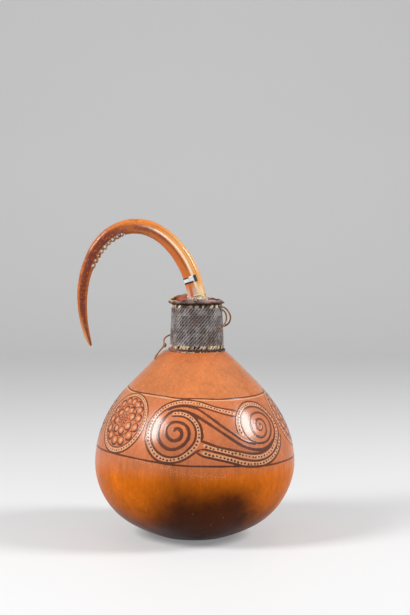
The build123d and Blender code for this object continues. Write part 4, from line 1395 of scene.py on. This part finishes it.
# %% Lace
def rings(sheaf, shares_at, insets, majors, minors, seed):
    """Rings in the plane of the arch: a circle carried round a circle, thicker from front to back."""
    chance = np.random.default_rng(seed)
    turns_of = (np.linspace(0, 2 * pi, count, endpoint=False) for count in (20, 8))
    round_, tube = np.meshgrid(*turns_of, indexing="ij")
    for share, inset, major, minor in zip(shares_at, insets, majors, minors):
        stretch = chance.uniform(0.9, 1.2)
        wobble = 1 + 0.12 * np.sin(3 * round_ + chance.uniform(0, 6))
        reach = major + minor * wobble * np.cos(tube)
        out = inset - tusk_width(share) / 2 + reach * np.cos(round_)
        along = stretch * reach * np.sin(round_) / spine_reach[-1]
        back = 1.5 * minor * wobble * np.sin(tube) - 0.3
        points = tusk_place(share + along, out, back)
        sheaf.add(points, round_rows=True, round_columns=True, tone=chance.uniform(0, 1), flip=True)


lace = Sheaf()
chance = np.random.default_rng(17)
hole_shares = np.linspace(LACE_START, LACE_END, LACE_HOLES)
insets, majors, minors = (chance.uniform(*ends, LACE_HOLES) for ends in ((-0.25, 0.25), (1.5, 1.85), (0.65, 0.95)))
rings(lace, hole_shares, LACE_INSET + insets, majors, minors, 18)
knob_shares = np.concatenate([(hole_shares[1:] + hole_shares[:-1]) / 2, [LACE_START - 0.014, LACE_END + 0.013]])
knob_places = tusk_place(knob_shares, 0.45 - tusk_width(knob_shares) / 2, np.full(len(knob_shares), -0.9))
crumbs(lace, knob_places, 0.95, 19)


def lace_recipe(place, chart):
    tone = tone_of(place)
    cloud = noise(place, 420.0, 3.0)
    dirt = rise(noise(place, 260.0, 3.0), 0.52, 0.66)
    colour = blend(tone, srgb(206, 140, 84), srgb(244, 212, 164))
    return {
        "Base Color": shade(blend(0.6 * dirt, colour, srgb(132, 62, 30)), 0.85 + 0.3 * cloud),
        "Roughness": 0.34 + 0.2 * cloud,
        "Bump": (cloud, 0.1 * MM),
    }


lace_finish = finish_of("lace", "tusk", lace_recipe, MATT)
lace.piece("tusk_lace", "tusk", lace_finish, ["tusk_stopper"])

# %% [markdown]
# ## Lime crust round the root
#
# Where the tusk leaves the mouth it is caked with old lime: pale flakes that stand round it in a
# ragged ring. They are lumps like the crumbs, set on the tusk's own surface.

# %% Root crust
chance = np.random.default_rng(23)
CRUST_COUNT, CRUST_START, CRUST_REACH = 240, 0.094, 0.022
crust_shares = CRUST_START + CRUST_REACH * chance.uniform(0, 1, CRUST_COUNT) ** 2
crust_section = section[chance.integers(0, TUSK_COLUMNS, CRUST_COUNT)]
crust = Sheaf()
crumbs(crust, tusk_skin(crust_shares, crust_section, 0.1), 0.6, 24)
crust.piece("root_crust", "tusk", lime_finish, ["tusk_stopper"])

# %% [markdown]
# ## The label slip
#
# A small slip was pasted round the inner half of the tusk. It stays blank: a white patch with black
# strips at its top, bottom and outer end. It is a strip of the tusk's own surface lifted a little,
# with its edges folded down on the ivory.

# %% Label
LABEL_START, LABEL_END = 0.162, 0.189
LABEL_ROWS, LABEL_COLUMNS, FINE_COLUMNS, EDGE_STEP = 14, 40, 960, 0.0004
label_columns = np.linspace(0.395, 0.862, LABEL_COLUMNS)
label_rows = np.linspace(LABEL_START, LABEL_END, LABEL_ROWS)
label_section = pick(rounded_triangle(FINE_COLUMNS), np.arange(FINE_COLUMNS) / FINE_COLUMNS, label_columns)
lift = np.full((LABEL_ROWS, LABEL_COLUMNS), 0.3)
lift[[0, -1]] = lift[:, [0, -1]] = -0.05
label_rows[0], label_rows[-1] = label_rows[1] - EDGE_STEP, label_rows[-2] + EDGE_STEP
label_points = tusk_skin(label_rows[:, None], label_section[None], lift)
label = Sheaf().add(label_points, chart=(np.linspace(0, 1, LABEL_ROWS), np.linspace(0, 1, LABEL_COLUMNS)))


def label_recipe(place, chart):
    up, around = parts(chart)[:2]
    grime = noise(place, 300.0, 4.0)
    strip = rise(up, 0.30, 0.26) * rise(around, 0.86, 0.80)
    strip = strip + rise(up, 0.72, 0.76) * rise(around, 0.72, 0.66) + rise(around, 0.86, 0.88)
    paper = blend(grime, srgb(214, 216, 224), srgb(244, 244, 246))
    return {
        "Base Color": blend(at_most_one(strip), paper, srgb(22, 20, 22)),
        "Roughness": 0.4 + 0.2 * grime,
        "Bump": (grime, 0.05 * MM),
    }


label.piece("label_slip", "tusk", finish_of("label", "label", label_recipe), ["label_band"])

# %% [markdown]
# ## The wad
#
# Down in the mouth a plug of bound fibre grips the tusk's root. It is a fat coil of cord laid round
# and round, so its profile is a row of half circles, with a cup in the top for the tusk.

# %% Wad
WAD_BOTTOM, WAD_TOP, WAD_RADIUS = 173.1, 190.1, 16.84
CUP_RADIUS, CUP_FLOOR = 13.4, 176.1
COIL_PITCH, COIL_DEPTH = 1.7, 0.45
side = np.linspace(WAD_BOTTOM + 0.8, WAD_TOP - 0.8, 90)
side_line = np.stack([WAD_RADIUS - COIL_DEPTH * (1 - np.abs(np.sin(pi * side / COIL_PITCH))), side], axis=-1)
wad_line = np.concatenate([
    [(0, WAD_BOTTOM), (8, WAD_BOTTOM), (WAD_RADIUS - 1.1, WAD_BOTTOM), (WAD_RADIUS - 0.4, WAD_BOTTOM + 0.3)],
    side_line,
    [(WAD_RADIUS - 0.5, WAD_TOP - 0.2), (WAD_RADIUS - 1.2, WAD_TOP)],
    [(CUP_RADIUS + 0.6, WAD_TOP), (CUP_RADIUS, WAD_TOP - 0.6)],
    [(CUP_RADIUS, z) for z in np.linspace(WAD_TOP - 2, CUP_FLOOR + 0.4, 8)],
    [(CUP_RADIUS - 0.5, CUP_FLOOR), (6, CUP_FLOOR), (0, CUP_FLOOR)],
])
wad = Sheaf().add(revolved(wad_line, 200, NECK_OFFSET), round_columns=True)
wad_finish = finish_of("wad", "wad", fibre_recipe(srgb(88, 64, 44), srgb(186, 152, 110)))
wad.piece("wad_coil", "wad", wad_finish, ["stopper_wad"])
refinish("tail_knot", cord_finish)

# %% [markdown]
# ## Floor, backdrop and light
#
# The photograph is lit by two large soft boxes, one on each side in front, which show as two pale
# upright patches on the belly. Two area lamps stand in the same places. The floor is plain and pale.

# %% Stage
floor_mesh = bpy.data.meshes.new("floor")
FLOOR_HALF, BACK_DISTANCE, BACK_HEIGHT, FLOOR_DROP = 3.0, 1.6, 3.0, 0.0003
bend = np.linspace(0, pi / 2, 24)
floor_side = np.concatenate([
    [(-FLOOR_HALF, -FLOOR_DROP)],
    np.stack([BACK_DISTANCE + 0.5 * np.sin(bend), 0.5 - 0.5 * np.cos(bend) - FLOOR_DROP], axis=-1),
    [(BACK_DISTANCE + 0.5, BACK_HEIGHT)],
])
floor_points = np.array([[(x, y, z) for y, z in floor_side] for x in (-FLOOR_HALF, FLOOR_HALF)])
floor_count = len(floor_side)
floor_faces = [(k, k + floor_count, k + floor_count + 1, k + 1) for k in range(floor_count - 1)]
floor_mesh.from_pydata(floor_points.reshape(-1, 3).tolist(), [], floor_faces)
floor_mesh.polygons.foreach_set("use_smooth", np.full(len(floor_faces), True))
placed("floor", floor_mesh)
floor_finish = bpy.data.materials.new("floor")
floor_finish.use_nodes = True
floor_shader = next(node for node in floor_finish.node_tree.nodes if node.type == "BSDF_PRINCIPLED")
floor_shader.inputs["Roughness"].default_value = 0.6
floor_shader.inputs["Emission Strength"].default_value = 1.0


def background_rays(tree):
    """1 for rays of the camera, of reflections and of glass, which all see the pale background."""
    kinds = ("Is Camera Ray", "Is Glossy Ray", "Is Transmission Ray")
    seen, mirrored, through = (Signal(tree).node("ShaderNodeLightPath", out=kind) for kind in kinds)
    return seen.maths("MAXIMUM", seen.maths("MAXIMUM", seen, mirrored), through)


pale = background_rays(floor_finish.node_tree)
for key, other_rays, background in (
    ("Base Color", (0.3, 0.3, 0.3), (0.56, 0.56, 0.56)),
    ("Emission Color", (0.0, 0.0, 0.0), (0.22, 0.22, 0.222)),
):
    floor_finish.node_tree.links.new(blend(pale, other_rays, background).socket, floor_shader.inputs[key])
floor_mesh.materials.append(floor_finish)

world = bpy.data.worlds.new("world")
world.use_nodes = True
sky = world.node_tree.nodes["Background"]
sky.inputs["Color"].default_value = (1.0, 1.0, 1.0, 1)
world.node_tree.links.new((0.2 + 0.6 * background_rays(world.node_tree)).socket, sky.inputs["Strength"])
bpy.context.scene.world = world


LIT_MIDDLE = np.array([0, 0, 0.12])
BOX_DISTANCE, BOX_HEIGHT = 1.5, 0.56


def soft_box(name, turn, lift, width, power):
    """A large rectangular lamp at an angle round from the front and above the floor, facing the gourd."""
    data = bpy.data.lights.new(name, "AREA")
    data.shape = "RECTANGLE"
    data.size, data.size_y = width, BOX_HEIGHT
    data.energy = power
    lamp = placed(name, data)
    towards = np.array([np.sin(turn) * np.cos(lift), -np.cos(turn) * np.cos(lift), np.sin(lift)])
    lamp.location = LIT_MIDDLE + BOX_DISTANCE * towards
    lamp.rotation_euler = Vector(towards.tolist()).to_track_quat("Z", "Y").to_euler()


soft_box("box_left", radians(-61), radians(36), 0.46, 22)
soft_box("box_right", radians(80), radians(34), 0.44, 20)
